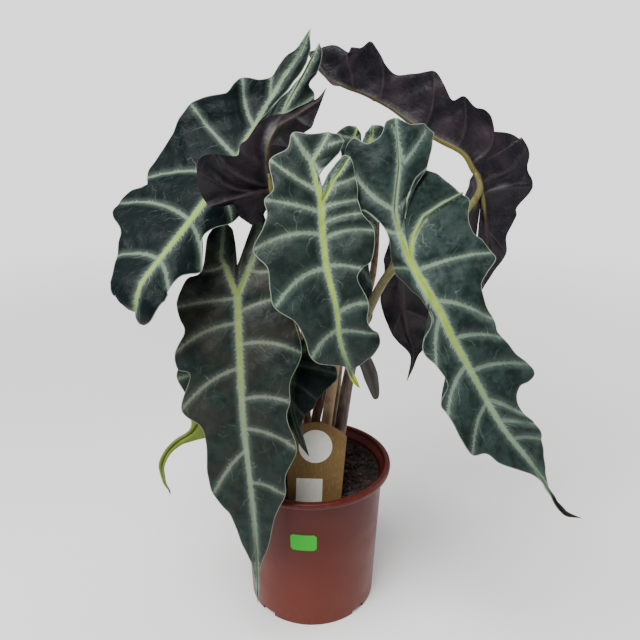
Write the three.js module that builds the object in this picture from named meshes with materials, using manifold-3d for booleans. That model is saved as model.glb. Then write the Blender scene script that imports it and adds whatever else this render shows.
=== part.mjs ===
// A potted Alocasia 'Polly': ten arrow-shaped leaves on their petioles, standing in soil in a
// nursery pot, with a plain card label behind the front rim and a small price sticker on the wall.
// Millimetres, +Z up. The origin is the middle of the pot's underside, and -Y is the front.
import * as THREE from 'three';
import { mergeVertices } from 'three/addons/utils/BufferGeometryUtils.js';
import Module from 'manifold-3d';

const wasm = await Module();
wasm.setup();

// Driving dimensions
const GAP = 0.3;

const POT = {
  height: 136, rimRadius: 70, rimHeight: 6.5, mouthRadius: 64.7,
  wallTopRadius: 62.8, baseRadius: 56.6, wall: 2, floorTop: 6,
  recess: 3, padRadius: 22, footInner: 50,
  notchCount: 4, notchWidth: 14, notchHeight: 4, notchDepth: 12, notchStart: 47,
  drainCount: 8, drainRadius: 5, drainRing: 37, segments: 44,
};

const SOIL = { top: 123, bump: 1.1, segments: 32, rings: 4 };

const LABEL = {
  width: 50, archRise: 11, height: 85, bottom: 108, footWidth: 30, thickness: 0.8,
  x: 2, y: -55.7, lean: -16, turn: 2,
};

const STICKER = { width: 22, height: 16, thickness: 0.4, z: 92, angle: -6, cut: 2, steps: 8 };

const BLADE = {
  thickness: 1.2, ridge: 1.6, across: [0, 0.09, 0.5, 1],
  creaseWidth: 3, lobeCreaseWidth: 20, creaseChange: 30, bow: 0.1, bowReach: 20, step: 16, merge: 6,
  wave: 2,
};

// Each leaf is drawn flat and then bent. In the flat drawing u runs across the blade and v along
// the midrib, from the petiole's joint at 0,0 to the tip. A margin runs from the tip of the basal
// lobe to the tip of the leaf, and a third number on a margin point is where the vein that ends
// there leaves the midrib (or, when it is negative, the lobe's own vein).
// spine: x, y, z, left fold, right fold (degrees), from the lobes to the tip.
// joint: which spine row the petiole meets. facing: where the upper face looks.
const LEAVES = {
  leaf_front_left: {
    facing: [0, -1, 0.3], curl: [-0.15, -0.15], joint: 2, lift: [0, 0], petioleRadius: [4.2, 2.6],
    spine: [[-58, -8, 376, -8, -8], [-55, -26, 341, -5, -5], [-54, -46, 303, 0, 0], [-52, -64, 260, 5, 5],
      [-50, -77, 216, 5, 5], [-46, -84, 169, 5, 5], [-43, -86, 115, 5, 5], [-43, -85, 80, 0, 0],
      [-44, -82, 48, 0, 0]],
    left: {
      margin: [[-9, -59], [-21, -48], [-27, -20, -26], [-37, -14], [-45, 0], [-46, 6, 1], [-43, 15],
        [-40, 25],
        [-48, 40, 20], [-46, 52], [-37, 57], [-45, 82, 53], [-32, 94], [-29, 107], [-31, 130],
        [-29, 150, 116],
        [-18, 169], [-11, 196], [-5, 214], [-1.5, 243]],
      lobe: [[-12, -30]], sinus: [[0, -24], [-1, -39], [-3, -52]],
    },
    right: {
      margin: [[20, -66], [25, -44], [29, -20, -22], [35, 2, 12], [42, 22], [46, 44, 36], [37, 64],
        [36, 80, 77],
        [33, 92], [38, 118, 99], [28, 137], [26, 155, 143], [17, 172], [10, 199], [3, 219], [1.5, 243]],
      lobe: [[11, -26]], sinus: [[0, -24], [7, -43], [14, -60]],
    },
    petiole: [[-3, -14, 107], [-3, -14, 128], [-5, -12, 200], [-14, -9, 266], [-40, -29, 306],
      [-53, -44, 302]],
  },
  leaf_centre: {
    facing: [0.2, -1, 0.1], curl: [-0.2, -0.2], joint: 2, lift: [0, 0], petioleRadius: [5, 2.8],
    spine: [[6, -42, 429, -8, -8], [7, -54, 404, -5, -5], [8, -64, 377, 5, 5], [9, -70, 356, 8, 8],
      [12, -78, 333, 8, 8], [18, -84, 309, 8, 8], [21, -85, 285, 8, 8], [26, -80, 266, 5, 5],
      [30, -70, 251, 0, 0],
      [37, -64, 237, 0, 0]],
    left: {
      margin: [[7, -49], [-7, -46], [-18, -48, -28], [-22, -36], [-34, -29, -8], [-33, -15],
        [-33, -8], [-39, -2, 7],
        [-38, 7], [-41, 15], [-49, 29, 22], [-41, 40], [-42, 51], [-42, 61, 45], [-31, 76], [-25, 91],
        [-23, 102, 89], [-16, 110], [-6, 117], [-2, 124], [-2, 142]],
      lobe: [[-6, -26]], sinus: [[1, -11], [-1, -21], [5, -25], [14, -34], [18, -43], [14, -48]],
    },
    right: {
      margin: [[21, -32], [25, -18, -14], [26, -2, 3], [28, 8, 14], [36, 22, 25], [32, 44],
        [24, 51, 44], [19, 58],
        [23, 74, 77], [21, 86], [28, 102, 90], [25, 114], [14, 122], [3, 127], [2, 142]],
      lobe: [[9, -15]], sinus: [[1, -11], [5, -19], [12, -28], [17, -33]],
    },
    petiole: [[9, -15, 107], [9, -15, 128], [13, -16, 180], [17, -18, 212], [20, -22, 240], [19, -30, 285],
      [12, -44, 345], [8, -62, 376]],
  },
  leaf_right: {
    facing: [0.3, -1, 0.3], curl: [-0.2, -0.2], joint: 2, lift: [4, -3], petioleRadius: [5.6, 3.2],
    spine: [[51, -44, 410, -40, 0], [58, -60, 368, -60, 0], [69, -76, 340, -72, 5], [87, -92, 311, -65, 8],
      [98, -98, 290, -40, 5], [109, -102, 271, -20, 5], [122, -104, 248, 0, 5], [137, -106, 224, 5, 5],
      [155, -105, 201, 10, 0], [171, -102, 177, 20, 0], [191, -94, 148, 0, 0], [209, -90, 138, 0, 0]],
    left: {
      margin: [[11, -100], [3, -97], [-2, -88], [-10, -84], [-18, -90], [-26, -82, -36], [-25, -71],
        [-30, -56],
        [-30, -48], [-24, -43], [-15, -39], [-8, -25, -20], [-9, -12], [-19, -2, 7], [-18, 8],
        [-9, 23], [-5, 35],
        [-8, 46], [-19, 55], [-23, 62], [-19, 74, 43], [-18, 88], [-29, 97], [-29, 106, 82], [-31, 122],
        [-30, 136, 114], [-21, 142], [-18, 154], [-10, 171], [-3, 186], [-1.5, 205], [-2, 235]],
      lobe: [[0, -34], [8, -66]],
      sinus: [[7, -29], [10, -37], [21, -54], [28, -62], [34, -77], [38, -87], [31, -94], [21, -94]],
    },
    right: {
      margin: [[56, -43], [60, -35], [54, -17], [51, -5], [54, 11], [56, 23, 9], [54, 29], [42, 34],
        [34, 39],
        [32, 50], [33, 65, 33], [30, 73], [32, 80, 62], [35, 96], [42, 111, 88], [41, 118], [34, 120],
        [25, 118],
        [19, 126], [19, 140, 112], [21, 154, 130], [18, 168, 148], [12, 179], [5, 191], [1.5, 205],
        [2, 235]],
      lobe: [[8, -14], [21, -28]], sinus: [[7, -29], [10, -42], [19, -57], [29, -64], [38, -60], [47, -53]],
    },
    petiole: [[20, -8, 107], [20, -8, 128], [25.5, -8, 175], [29.5, -9, 207], [33, -12, 231],
      [43.5, -26, 280],
      [58, -51, 323], [68, -74, 340]],
  },
  leaf_upper_left: {
    facing: [-0.35, -0.8, 0.5], curl: [-0.12, -0.1], joint: 3, lift: [0, 0], petioleRadius: [4.4, 2.8],
    spine: [[4, 46, 497, 60, -50], [-11, 30, 466, 60, -50], [-32, 6, 431, 35, -45],
      [-54, -20, 397, 10, -45],
      [-74, -46, 374, 0, -40], [-92, -70, 352, 0, -30], [-109, -92, 332, -5, -20],
      [-113, -98, 323, -5, -10],
      [-115, -99, 314, 0, 0], [-118, -92, 308, 0, 0], [-120, -78, 309, 0, 0], [-121, -60, 313, 0, 0]],
    left: {
      margin: [[-1, -125], [-3, -108], [-9, -98], [-11, -88], [-12, -77, -60], [-18, -69],
        [-30, -63, -34], [-33, -56],
        [-34, -47], [-37, -43], [-44, -38], [-55, -28, -4], [-57, -14], [-58, 0], [-60, 12],
        [-62, 26], [-59, 36, 15],
        [-52, 44], [-64, 51], [-66, 63, 59], [-60, 76], [-44, 86], [-34, 104, 96], [-24, 122], [-17, 132],
        [-12, 146], [-6, 160], [-3, 170]],
      lobe: [[-3, -20], [-3, -51], [-3, -80], [1, -104]], sinus: [[-2, -36], [3, -57], [7, -85],
        [8, -98], [6, -110]],
    },
    right: {
      margin: [[10, -117], [15, -111], [18, -95], [17, -83], [25, -79, -52], [30, -59],
        [34, -36, -26], [32, -14],
        [34, 4, 2], [26, 24], [24, 40, 24], [15, 57], [15, 68], [27, 85, 60], [19, 98], [18, 112, 96],
        [20, 120], [17, 129], [9, 142], [5, 156], [2, 170]],
      lobe: [[8, -26], [11, -50], [10, -75], [10, -95]], sinus: [[-2, -36], [4, -63], [9, -87], [9, -101]],
    },
    petiole: [[0, 3, 107], [0, 3, 128], [3, 4, 169], [9, 5, 200], [12, 7, 235], [12, 8, 290], [4, 8, 345],
      [-18, 4, 388], [-42, -8, 402], [-53, -19, 397]],
  },
  leaf_back_right: {
    facing: [0.2, 1, 0.3], curl: [0.1, 0.1], joint: 2, lift: [0, 0], petioleRadius: [4.4, 2.8],
    spine: [[154, 72, 260, 40, 0], [148, 66, 318, 60, 0], [145, 62, 366, 80, 0], [137, 62, 382, 90, 0],
      [127, 64, 395, 90, 0], [103, 70, 407, 90, 0], [82, 78, 420, 90, 0], [65, 84, 431, 90, 0],
      [47, 88, 440, 90, 0],
      [29, 90, 446, 80, 0], [16, 92, 452, 70, 0], [6, 94, 464, 60, 0], [-3, 98, 474, 40, 0]],
    left: {
      margin: [[-8, -92], [-22, -76], [-30, -52, -45], [-32, -26], [-44, -4, -6], [-38, 14],
        [-46, 34, 16], [-36, 52],
        [-44, 72, 50], [-34, 90], [-40, 108, 86], [-30, 124], [-32, 142, 122], [-20, 160], [-10, 180],
        [-2, 188]],
      lobe: [[-10, -36]], sinus: [[0, -18], [-2, -48], [-4, -76]],
    },
    right: {
      margin: [[3, -97], [12, -82], [24, -62, -40], [24, -45], [31, -26], [31, -18], [43, -3, -6],
        [40, 5], [46, 11, 4],
        [42, 24], [28, 31], [36, 34, 22], [38, 38], [36, 43], [40, 54, 40], [33, 64], [40, 79],
        [44, 92, 72],
        [33, 105], [25, 116], [30, 128], [41, 139, 118], [34, 147], [29, 165, 142], [20, 182], [6, 190]],
      lobe: [[6, -30], [9, -63]], sinus: [[0, -18], [-1, -48], [-1, -76]],
    },
    petiole: [[22, 25, 107], [22, 25, 128], [26.5, 26, 157], [32, 29, 188], [37, 36, 216], [50, 52, 256],
      [74, 62, 292], [112, 62, 318], [138, 62, 350], [145, 62, 366]],
  },
  leaf_folded: {
    facing: [-0.5, 1, 0.3], curl: [0.3, 0.3], joint: 1, lift: [0, 0], petioleRadius: [3.8, 2.4],
    spine: [[-25, -28, 353, -15, 20], [-28, -38, 381, -15, 10], [-30, -44, 399, -15, 10],
      [-29, -45, 413, -10, 10],
      [-23, -40, 424, 0, 10], [-12, -28, 430, 0, 10], [-1, -18, 436, 0, 10], [7, -12, 441, 0, 10],
      [12, -8, 449, 0, 0]],
    left: {
      margin: [[-49, 9], [-52, 18], [-52, 24, -14], [-49, 27], [-38, 28, 4], [-22, 27], [-20, 31, 22],
        [-15, 34],
        [-10, 45], [-5, 60, 46], [-4, 74], [-2, 90]],
      lobe: [[-14, 4], [-34, 8]], sinus: [[-3, -12], [-11, -21], [-20, -21], [-29, -9], [-31, 2], [-41, 4]],
    },
    right: {
      margin: [[12, -24], [18, -12, -12], [21, 6, 4], [18, 26], [20, 44, 34], [15, 62], [13, 76, 66],
        [6, 88], [2, 95]],
      lobe: [[7, -13]], sinus: [[-3, -12], [1, -19], [6, -24]],
    },
    petiole: [[-9, -4, 107], [-9, -4, 128], [-5, 1, 240], [-13, 0, 320], [-24, -16, 366], [-29, -37, 380]],
  },
  leaf_back_middle: {
    facing: [0.1, -1, 0.1], curl: [-0.2, -0.2], joint: 2, lift: [0, 0], petioleRadius: [3.2, 2.6],
    spine: [[39, 2, 430, 0, 0], [39, 0, 416, 5, 5], [38, -3, 403, 10, 10], [36, -6, 375, 10, 10],
      [32, -7, 340, 10, 10], [29, -6, 304, 10, 10], [32, -4, 269, 5, 5], [38, -2, 246, 0, 0],
      [46, 0, 229, 0, 0],
      [52, 2, 211, 0, 0], [56, 2, 193, 0, 0]],
    left: {
      margin: [[-5, -19], [-13, -19], [-20, -12, -12], [-18, -3], [-16, 6], [-21, 20, 8], [-19, 40],
        [-23, 60, 40],
        [-20, 82], [-23, 104, 78], [-18, 124], [-14, 140, 112], [-8, 158], [-6, 176], [-6, 194], [-3, 212]],
      lobe: [[-6, -10]], sinus: [[0, -7], [-1, -14]],
    },
    right: {
      margin: [[7, -20], [15, -19], [20, -12, -12], [18, -4], [15, 6], [20, 20, 8], [16, 40], [20, 60, 40],
        [16, 82], [20, 104, 78], [19, 124], [18, 136, 112], [9, 152], [6, 170], [6, 192], [3, 212]],
      lobe: [[7, -10]], sinus: [[0, -7], [2, -14]],
    },
    petiole: [[15, 4, 107], [15, 4, 128], [18.5, 4, 169], [22, 4, 200], [24.5, 5, 227], [33, 6, 258],
      [48, 7, 292],
      [52, 7, 341], [48, 6, 385], [39, -2, 401]],
  },
  leaf_hanging_right: {
    facing: [0.1, 1, 0.1], curl: [0.2, 0.2], joint: 2, lift: [0, 0], petioleRadius: [3.6, 2.2],
    spine: [[77, 24, 386, 0, 0], [78, 28, 357, 0, 0], [78, 34, 326, 10, 10], [79, 40, 280, 15, 15],
      [84, 42, 246, 10, 10], [91, 40, 223, 0, 0], [91, 38, 210, 0, 0], [86, 36, 193, 0, 0]],
    left: {
      margin: [[-8, -44], [-16, -32], [-20, -16, -16], [-20, 0], [-27, 18, 6], [-30, 36], [-29, 58, 34],
        [-27, 76], [-25, 86, 66], [-15, 102], [-4, 111], [-1.5, 124]],
      lobe: [[-5, -20]], sinus: [[0, -12], [-2, -26], [-5, -38]],
    },
    right: {
      margin: [[8, -42], [12, -28], [14, -14, -16], [13, 2], [17, 20, 6], [17, 36], [20, 56, 34], [20, 68],
        [14, 88, 66], [7, 102], [3, 111], [1.5, 124]],
      lobe: [[4, -20]], sinus: [[0, -12], [2, -26], [5, -36]],
    },
    petiole: [[22, 12, 107], [22, 12, 131], [26, 13, 164], [31, 15, 195], [36, 18, 224], [48, 23, 265],
      [66, 29, 301], [77, 32, 328]],
  },
  leaf_low: {
    facing: [0, -1, 0.2], curl: [-0.2, -0.2], joint: 1, lift: [0, 0], petioleRadius: [3.2, 2],
    spine: [[-11, -34, 263, 0, 0], [-12, -40, 249, 10, 5], [-14, -46, 236, 10, 5], [-15, -54, 223, 10, 5],
      [-14, -58, 213, 5, 5], [-10, -62, 201, 0, 0], [-6, -64, 189, 0, 0], [-1, -66, 178, 0, 0]],
    left: {
      margin: [[-10, -22], [-17, -16], [-19, -6, -9], [-18, 2], [-21, 10, 5], [-19, 19],
        [-16, 29, 18], [-10, 39],
        [-6, 48, 32], [-4, 56], [-3, 66]],
      lobe: [[-6, -11]], sinus: [[0, -7], [-2, -16]],
    },
    right: {
      margin: [[12, -24], [21, -19], [24, -8, -9], [24, -2], [26, 3], [31, 1], [34, 6, 4], [33, 13],
        [25, 24],
        [20, 32, 18], [16, 42], [8, 47, 32], [3, 54], [2, 66]],
      lobe: [[8, -12]], sinus: [[0, -7], [4, -16]],
    },
    petiole: [[-12, -22, 107], [-12, -22, 128], [-13, -20, 190], [-13, -26, 236], [-12, -38, 249]],
  },
  leaf_behind_left: {
    facing: [-0.2, -1, 0.1], curl: [-0.2, -0.2], joint: 1, lift: [0, 0], petioleRadius: [3.6, 2.2],
    spine: [[-49, -16, 316, 0, 0], [-56, -24, 294, 0, 0], [-64, -36, 264, 0, 0], [-76, -46, 228, 0, 0],
      [-90, -52, 196, 0, 0], [-105, -56, 185, 0, 0], [-115, -56, 173, 0, 0], [-119, -56, 157, 0, 0],
      [-115, -56, 136, 0, 0]],
    left: {
      margin: [[-8, -22], [-15, -14, -10], [-18, -2], [-22, 14, 4], [-25, 34], [-29, 52, 34],
        [-31, 66], [-30, 78, 62],
        [-20, 86], [-13, 98], [-4, 110], [-3, 130], [-3, 150], [-2, 166]],
      lobe: [[-4, -11]], sinus: [[0, -7], [-4, -18]],
    },
    right: {
      margin: [[9, -22], [15, -12, -10], [18, 0], [20, 20, 8], [18, 36], [22, 58, 40], [21, 78],
        [20, 94, 72],
        [14, 106], [6, 116], [3, 132], [3, 150], [2, 166]],
      lobe: [[4, -11]], sinus: [[0, -7], [4, -18]],
    },
    petiole: [[-10, 5, 107], [-10, 5, 128], [-16, 4, 200], [-34, -4, 262], [-48, -16, 292],
      [-55, -23, 294]],
  },
};

// Geometry helpers
function solidFrom(positions, triangles) {
  return new wasm.Manifold(new wasm.Mesh({
    numProp: 3, vertProperties: Float32Array.from(positions), triVerts: Uint32Array.from(triangles),
  }));
}

function toSolid(geometry) {
  const bare = geometry.clone();
  bare.deleteAttribute('normal');
  bare.deleteAttribute('uv');
  const merged = mergeVertices(bare, 1e-4);
  return solidFrom(merged.attributes.position.array, merged.index.array);
}

function toGeometry(solid) {
  const mesh = solid.getMesh();
  const geometry = new THREE.BufferGeometry();
  geometry.setAttribute('position', new THREE.BufferAttribute(mesh.vertProperties, 3));
  geometry.setIndex(new THREE.BufferAttribute(mesh.triVerts, 1));
  geometry.computeVertexNormals();
  return geometry;
}

function lathe(profile, segments) {
  const points = profile.map(([r, z]) => new THREE.Vector2(r, z));
  return new THREE.LatheGeometry(points, segments).rotateX(Math.PI / 2);
}

// Curves
function spline(rows, t) {
  const last = rows.length - 1;
  const i = Math.min(Math.max(Math.floor(t), 0), last - 1);
  const f = t - i;
  const before = rows[i - 1] ?? rows[i].map((a, c) => 2 * a - rows[i + 1][c]);
  const after = rows[i + 2] ?? rows[i + 1].map((a, c) => 2 * a - rows[i][c]);
  return rows[i].map((a, c) => {
    const b = rows[i + 1][c];
    const start = (b - before[c]) / 2;
    const end = (after[c] - a) / 2;
    return (2 * f ** 3 - 3 * f ** 2 + 1) * a + (f ** 3 - 2 * f ** 2 + f) * start
      + (3 * f ** 2 - 2 * f ** 3) * b + (f ** 3 - f ** 2) * end;
  });
}

const smooth = (x) => {
  const t = Math.min(Math.max(x, 0), 1);
  return t * t * (3 - 2 * t);
};

const mix = (a, b, f) => a.map((value, c) => value + (b[c] - value) * f);

const distance = (a, b) => Math.hypot(b[0] - a[0], b[1] - a[1]);

function alongLine(points, length) {
  let left = length;
  for (let i = 0; i < points.length - 1; i += 1) {
    const piece = distance(points[i], points[i + 1]);
    if (left <= piece || i === points.length - 2) {
      return mix(points[i], points[i + 1], Math.min(left / piece, 1));
    }
    left -= piece;
  }
  return points[0];
}

const lineLength = (points) => points.slice(1).reduce((sum, p, i) => sum + distance(points[i], p), 0);

// The bent midrib, as samples with their distance from the petiole's joint
function bendMidrib(leaf, steps = 12) {
  const samples = [];
  let run = 0;
  for (let k = 0; k <= (leaf.spine.length - 1) * steps; k += 1) {
    const [x, y, z, leftFold, rightFold] = spline(leaf.spine, k / steps);
    const point = new THREE.Vector3(x, y, z);
    if (k > 0) run += point.distanceTo(samples[k - 1].point);
    samples.push({ point, run, folds: [leftFold, rightFold] });
  }
  const joint = samples[leaf.joint * steps].run;
  samples.forEach((sample, k) => {
    const next = samples[Math.min(k + 1, samples.length - 1)].point;
    const previous = samples[Math.max(k - 1, 0)].point;
    sample.along = next.clone().sub(previous).normalize();
    sample.v = sample.run - joint;
  });
  const start = leaf.joint * steps;
  samples[start].across = new THREE.Vector3(...leaf.facing).cross(samples[start].along).normalize();
  const carry = (from, to) => {
    to.across = from.across.clone().addScaledVector(to.along, -from.across.dot(to.along)).normalize();
  };
  for (let k = start + 1; k < samples.length; k += 1) carry(samples[k - 1], samples[k]);
  for (let k = start - 1; k >= 0; k -= 1) carry(samples[k + 1], samples[k]);
  for (const sample of samples) sample.up = sample.along.clone().cross(sample.across);
  return samples;
}

function midribAt(samples, v) {
  const last = samples.length - 1;
  let k = samples.findIndex((sample) => sample.v > v) - 1;
  if (k === -2) k = last - 1;
  k = Math.max(k, 0);
  const a = samples[k];
  const b = samples[k + 1];
  const f = (v - a.v) / (b.v - a.v);
  const inside = Math.min(Math.max(f, 0), 1);
  return {
    point: a.point.clone().lerp(b.point, f),
    across: a.across.clone().lerp(b.across, inside).normalize(),
    up: a.up.clone().lerp(b.up, inside).normalize(),
    folds: mix(a.folds, b.folds, inside),
  };
}

// Where a point of the flat drawing lies once the blade is folded and curled about its midrib
function place(leaf, samples, u, v) {
  const side = u < 0 ? 0 : 1;
  const middle = midribAt(samples, v);
  const fold = THREE.MathUtils.degToRad(middle.folds[side]) || 1e-5;
  const curl = THREE.MathUtils.degToRad(leaf.curl[side]);
  const lobe = smooth(-v / BLADE.creaseChange);
  const crease = BLADE.creaseWidth + (BLADE.lobeCreaseWidth - BLADE.creaseWidth) * lobe;
  const near = Math.min(Math.abs(u), crease);
  const far = Math.abs(u) - near;
  const bend = fold / crease;
  const turned = bend * near;
  const angle = turned + curl * far;
  const out = Math.sin(turned) / bend + (Math.sin(angle) - Math.sin(turned)) / curl;
  const lift = (1 - Math.cos(turned)) / bend + (Math.cos(turned) - Math.cos(angle)) / curl;
  const sign = Math.sign(u);
  const point = middle.point.clone()
    .addScaledVector(middle.across, sign * out).addScaledVector(middle.up, lift);
  const normal = middle.up.clone().multiplyScalar(Math.cos(angle))
    .addScaledVector(middle.across, -sign * Math.sin(angle));
  return { point, normal };
}

// One side of the flat drawing: its margin, its lobe's vein and where each margin point is rooted
function readSide(leaf, name, tip) {
  const drawing = leaf[name];
  const margin = [...drawing.margin.map(([u, v]) => [u, v]), [0, tip]];
  const lobe = [[0, 0], ...drawing.lobe, margin[0]];
  const lobeLength = lineLength(lobe);
  const roots = drawing.margin.map((point) => point[2]);
  roots[0] = -lobeLength;
  roots.push(tip);
  const veins = roots.filter((root) => root !== undefined);
  for (let i = 1; i < roots.length; i += 1) {
    if (roots[i] !== undefined) continue;
    const next = roots.findIndex((root, k) => k > i && root !== undefined);
    const whole = lineLength(margin.slice(i - 1, next + 1));
    roots[i] = roots[i - 1] + (roots[next] - roots[i - 1]) * distance(margin[i - 1], margin[i]) / whole;
  }
  return { margin, lobe, lobeLength, roots, veins, sinus: [...drawing.sinus, margin[0]] };
}

function rib(side, root, s) {
  const { margin, lobe, roots, veins } = side;
  const start = root < 0 ? alongLine(lobe, -root) : [0, root];
  const i = Math.min(Math.max(roots.findIndex((value) => value > root) - 1, 0), roots.length - 2);
  const last = roots.length - 1;
  const t = root >= roots[last] ? last : i + (root - roots[i]) / (roots[i + 1] - roots[i]);
  const end = spline(margin, t);
  const inner = root < 0 ? alongLine(lobe, Math.max(-root - 2, 0)) : [0, root - 2];
  const size = Math.hypot(inner[0] - start[0], inner[1] - start[1]) || 1;
  const bow = BLADE.bow * distance(start, end) * Math.min(Math.abs(root) / BLADE.bowReach, 1);
  const middle = mix(start, end, 0.5).map((value, c) => value + 2 * bow * (inner[c] - start[c]) / size);
  const point = start.map((value, c) => (1 - s) ** 2 * value + 2 * s * (1 - s) * middle[c] + s * s * end[c]);
  const k = Math.min(Math.max(veins.findIndex((value) => value > root) - 1, 0), veins.length - 2);
  const between = Math.min(Math.max((root - veins[k]) / (veins[k + 1] - veins[k]), 0), 1);
  return { point, wave: BLADE.wave * s * s * Math.sin(Math.PI * between) };
}

function spread(values) {
  const sorted = [...values].sort((a, b) => a - b);
  const kept = [sorted[0]];
  const end = sorted[sorted.length - 1];
  for (const value of sorted) {
    if (value - kept[kept.length - 1] > BLADE.merge && end - value > BLADE.merge) kept.push(value);
  }
  kept.push(end);
  return kept.flatMap((value, k) => {
    if (k === kept.length - 1) return [value];
    const parts = Math.ceil((kept[k + 1] - value) / BLADE.step);
    return Array.from({ length: parts }, (_, j) => value + (kept[k + 1] - value) * j / parts);
  });
}

// The blade as one closed solid: the flat drawing is cut into strips between its ribs, and both
// faces share that cutting
function bladeSolid(leaf) {
  const samples = bendMidrib(leaf);
  const tip = samples[samples.length - 1].v;
  const sides = [readSide(leaf, 'left', tip), readSide(leaf, 'right', tip)];
  const vertices = [];
  const triangles = [];

  function vertex(point, { wave = 0, ridge = 0, sideIndex = 0, root = 0 }) {
    const { point: middle, normal } = place(leaf, samples, point[0], point[1]);
    const lift = wave + leaf.lift[sideIndex] * smooth(-root / 40);
    const half = BLADE.thickness / 2;
    vertices.push({
      top: middle.clone().addScaledVector(normal, lift + half),
      bottom: middle.clone().addScaledVector(normal, lift - half - ridge),
    });
    return vertices.length - 1;
  }

  function strip(rows, flip) {
    for (let k = 0; k < rows.length - 1; k += 1) {
      for (let j = 0; j < rows[k].length - 1; j += 1) {
        const [a, b, c, d] = [rows[k][j], rows[k][j + 1], rows[k + 1][j + 1], rows[k + 1][j]];
        for (const triangle of [[a, b, c], [a, c, d]]) {
          if (new Set(triangle).size === 3) triangles.push(flip ? triangle.reverse() : triangle);
        }
      }
    }
  }

  const ribCount = BLADE.across.length;
  const midribRoots = spread([0, tip, ...sides.flatMap((side) => side.roots.filter((root) => root > 0))]);
  const midrib = midribRoots.map((root) => vertex([0, root], {
    ridge: BLADE.ridge * (1.1 - smooth(root / tip)),
  }));
  const sinusEnd = sides[0].sinus[0];
  const sinusRow = BLADE.across.map((s, j) => (j === 0 ? midrib[0] : vertex(mix([0, 0], sinusEnd, s), {})));

  sides.forEach((side, sideIndex) => {
    const lobeRoots = spread([0, ...side.roots.filter((root) => root < 0)]).reverse();
    const lobeVein = lobeRoots.map((root, k) => (k === 0 ? midrib[0] : vertex(alongLine(side.lobe, -root), {
      ridge: BLADE.ridge * 0.7 * (1.1 - smooth(-root / side.lobeLength)), sideIndex, root,
    })));
    const path = [...midribRoots.slice(1).reverse(), ...lobeRoots];
    const pathVertices = [...midrib.slice(1).reverse(), ...lobeVein];
    const outer = path.map((root, k) => {
      if (k === 0 || k === path.length - 1) return Array(ribCount).fill(pathVertices[k]);
      return BLADE.across.map((s, j) => {
        if (j === 0) return pathVertices[k];
        const { point, wave } = rib(side, root, s);
        return vertex(point, { wave, sideIndex, root });
      });
    });
    const inner = lobeRoots.map((root, k) => {
      if (k === 0) return sinusRow;
      if (k === lobeRoots.length - 1) return Array(ribCount).fill(lobeVein[k]);
      const edge = alongLine(side.sinus, lineLength(side.sinus) * -root / side.lobeLength);
      const start = alongLine(side.lobe, -root);
      return BLADE.across.map((s, j) => (
        j === 0 ? lobeVein[k] : vertex(mix(start, edge, s), { sideIndex, root })));
    });
    strip(outer, sideIndex === 0);
    strip(inner, sideIndex === 1);
  });
  return closeSheet(vertices, triangles);
}

function closeSheet(vertices, triangles) {
  const count = vertices.length;
  const points = [...vertices.map((v) => v.top), ...vertices.map((v) => v.bottom)];
  const positions = points.flatMap((p) => p.toArray());
  const edges = new Set(triangles.flatMap(([a, b, c]) => [`${a},${b}`, `${b},${c}`, `${c},${a}`]));
  const faces = triangles.flatMap(([a, b, c]) => [a, b, c, c + count, b + count, a + count]);
  for (const edge of edges) {
    const [a, b] = edge.split(',').map(Number);
    if (!edges.has(`${b},${a}`)) faces.push(b, a, a + count, b, a + count, b + count);
  }
  return solidFrom(positions, faces);
}

// A round stem along a smooth curve, tapering from its foot to its end
function stemSolid(points, [footRadius, endRadius], sides = 7, stepsPerPoint = 2) {
  const curve = new THREE.CatmullRomCurve3(points.map((p) => new THREE.Vector3(...p)));
  const steps = (points.length - 1) * stepsPerPoint;
  const frames = curve.computeFrenetFrames(steps, false);
  const positions = [];
  for (let k = 0; k <= steps; k += 1) {
    const center = curve.getPointAt(k / steps);
    const radius = footRadius + (endRadius - footRadius) * smooth(k / steps);
    for (let j = 0; j < sides; j += 1) {
      const angle = 2 * Math.PI * j / sides;
      positions.push(...center.clone().addScaledVector(frames.normals[k], radius * Math.cos(angle))
        .addScaledVector(frames.binormals[k], radius * Math.sin(angle)).toArray());
    }
  }
  const faces = [];
  for (let k = 0; k < steps; k += 1) {
    for (let j = 0; j < sides; j += 1) {
      const [a, b] = [k * sides + j, k * sides + (j + 1) % sides];
      faces.push(a, b, b + sides, a, b + sides, a + sides);
    }
  }
  const top = steps * sides;
  for (let j = 1; j < sides - 1; j += 1) {
    faces.push(0, j + 1, j, top, top + j, top + j + 1);
  }
  return solidFrom(positions, faces);
}

function leafSolid(leaf) {
  return bladeSolid(leaf).add(stemSolid(leaf.petiole, leaf.petioleRadius));
}

// The pot: a tapered wall with a rolled lip, a foot ring with notches and drain holes
function wallRadius(z) {
  return POT.baseRadius + (POT.wallTopRadius - POT.baseRadius) * z / (POT.height - POT.rimHeight);
}

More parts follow.
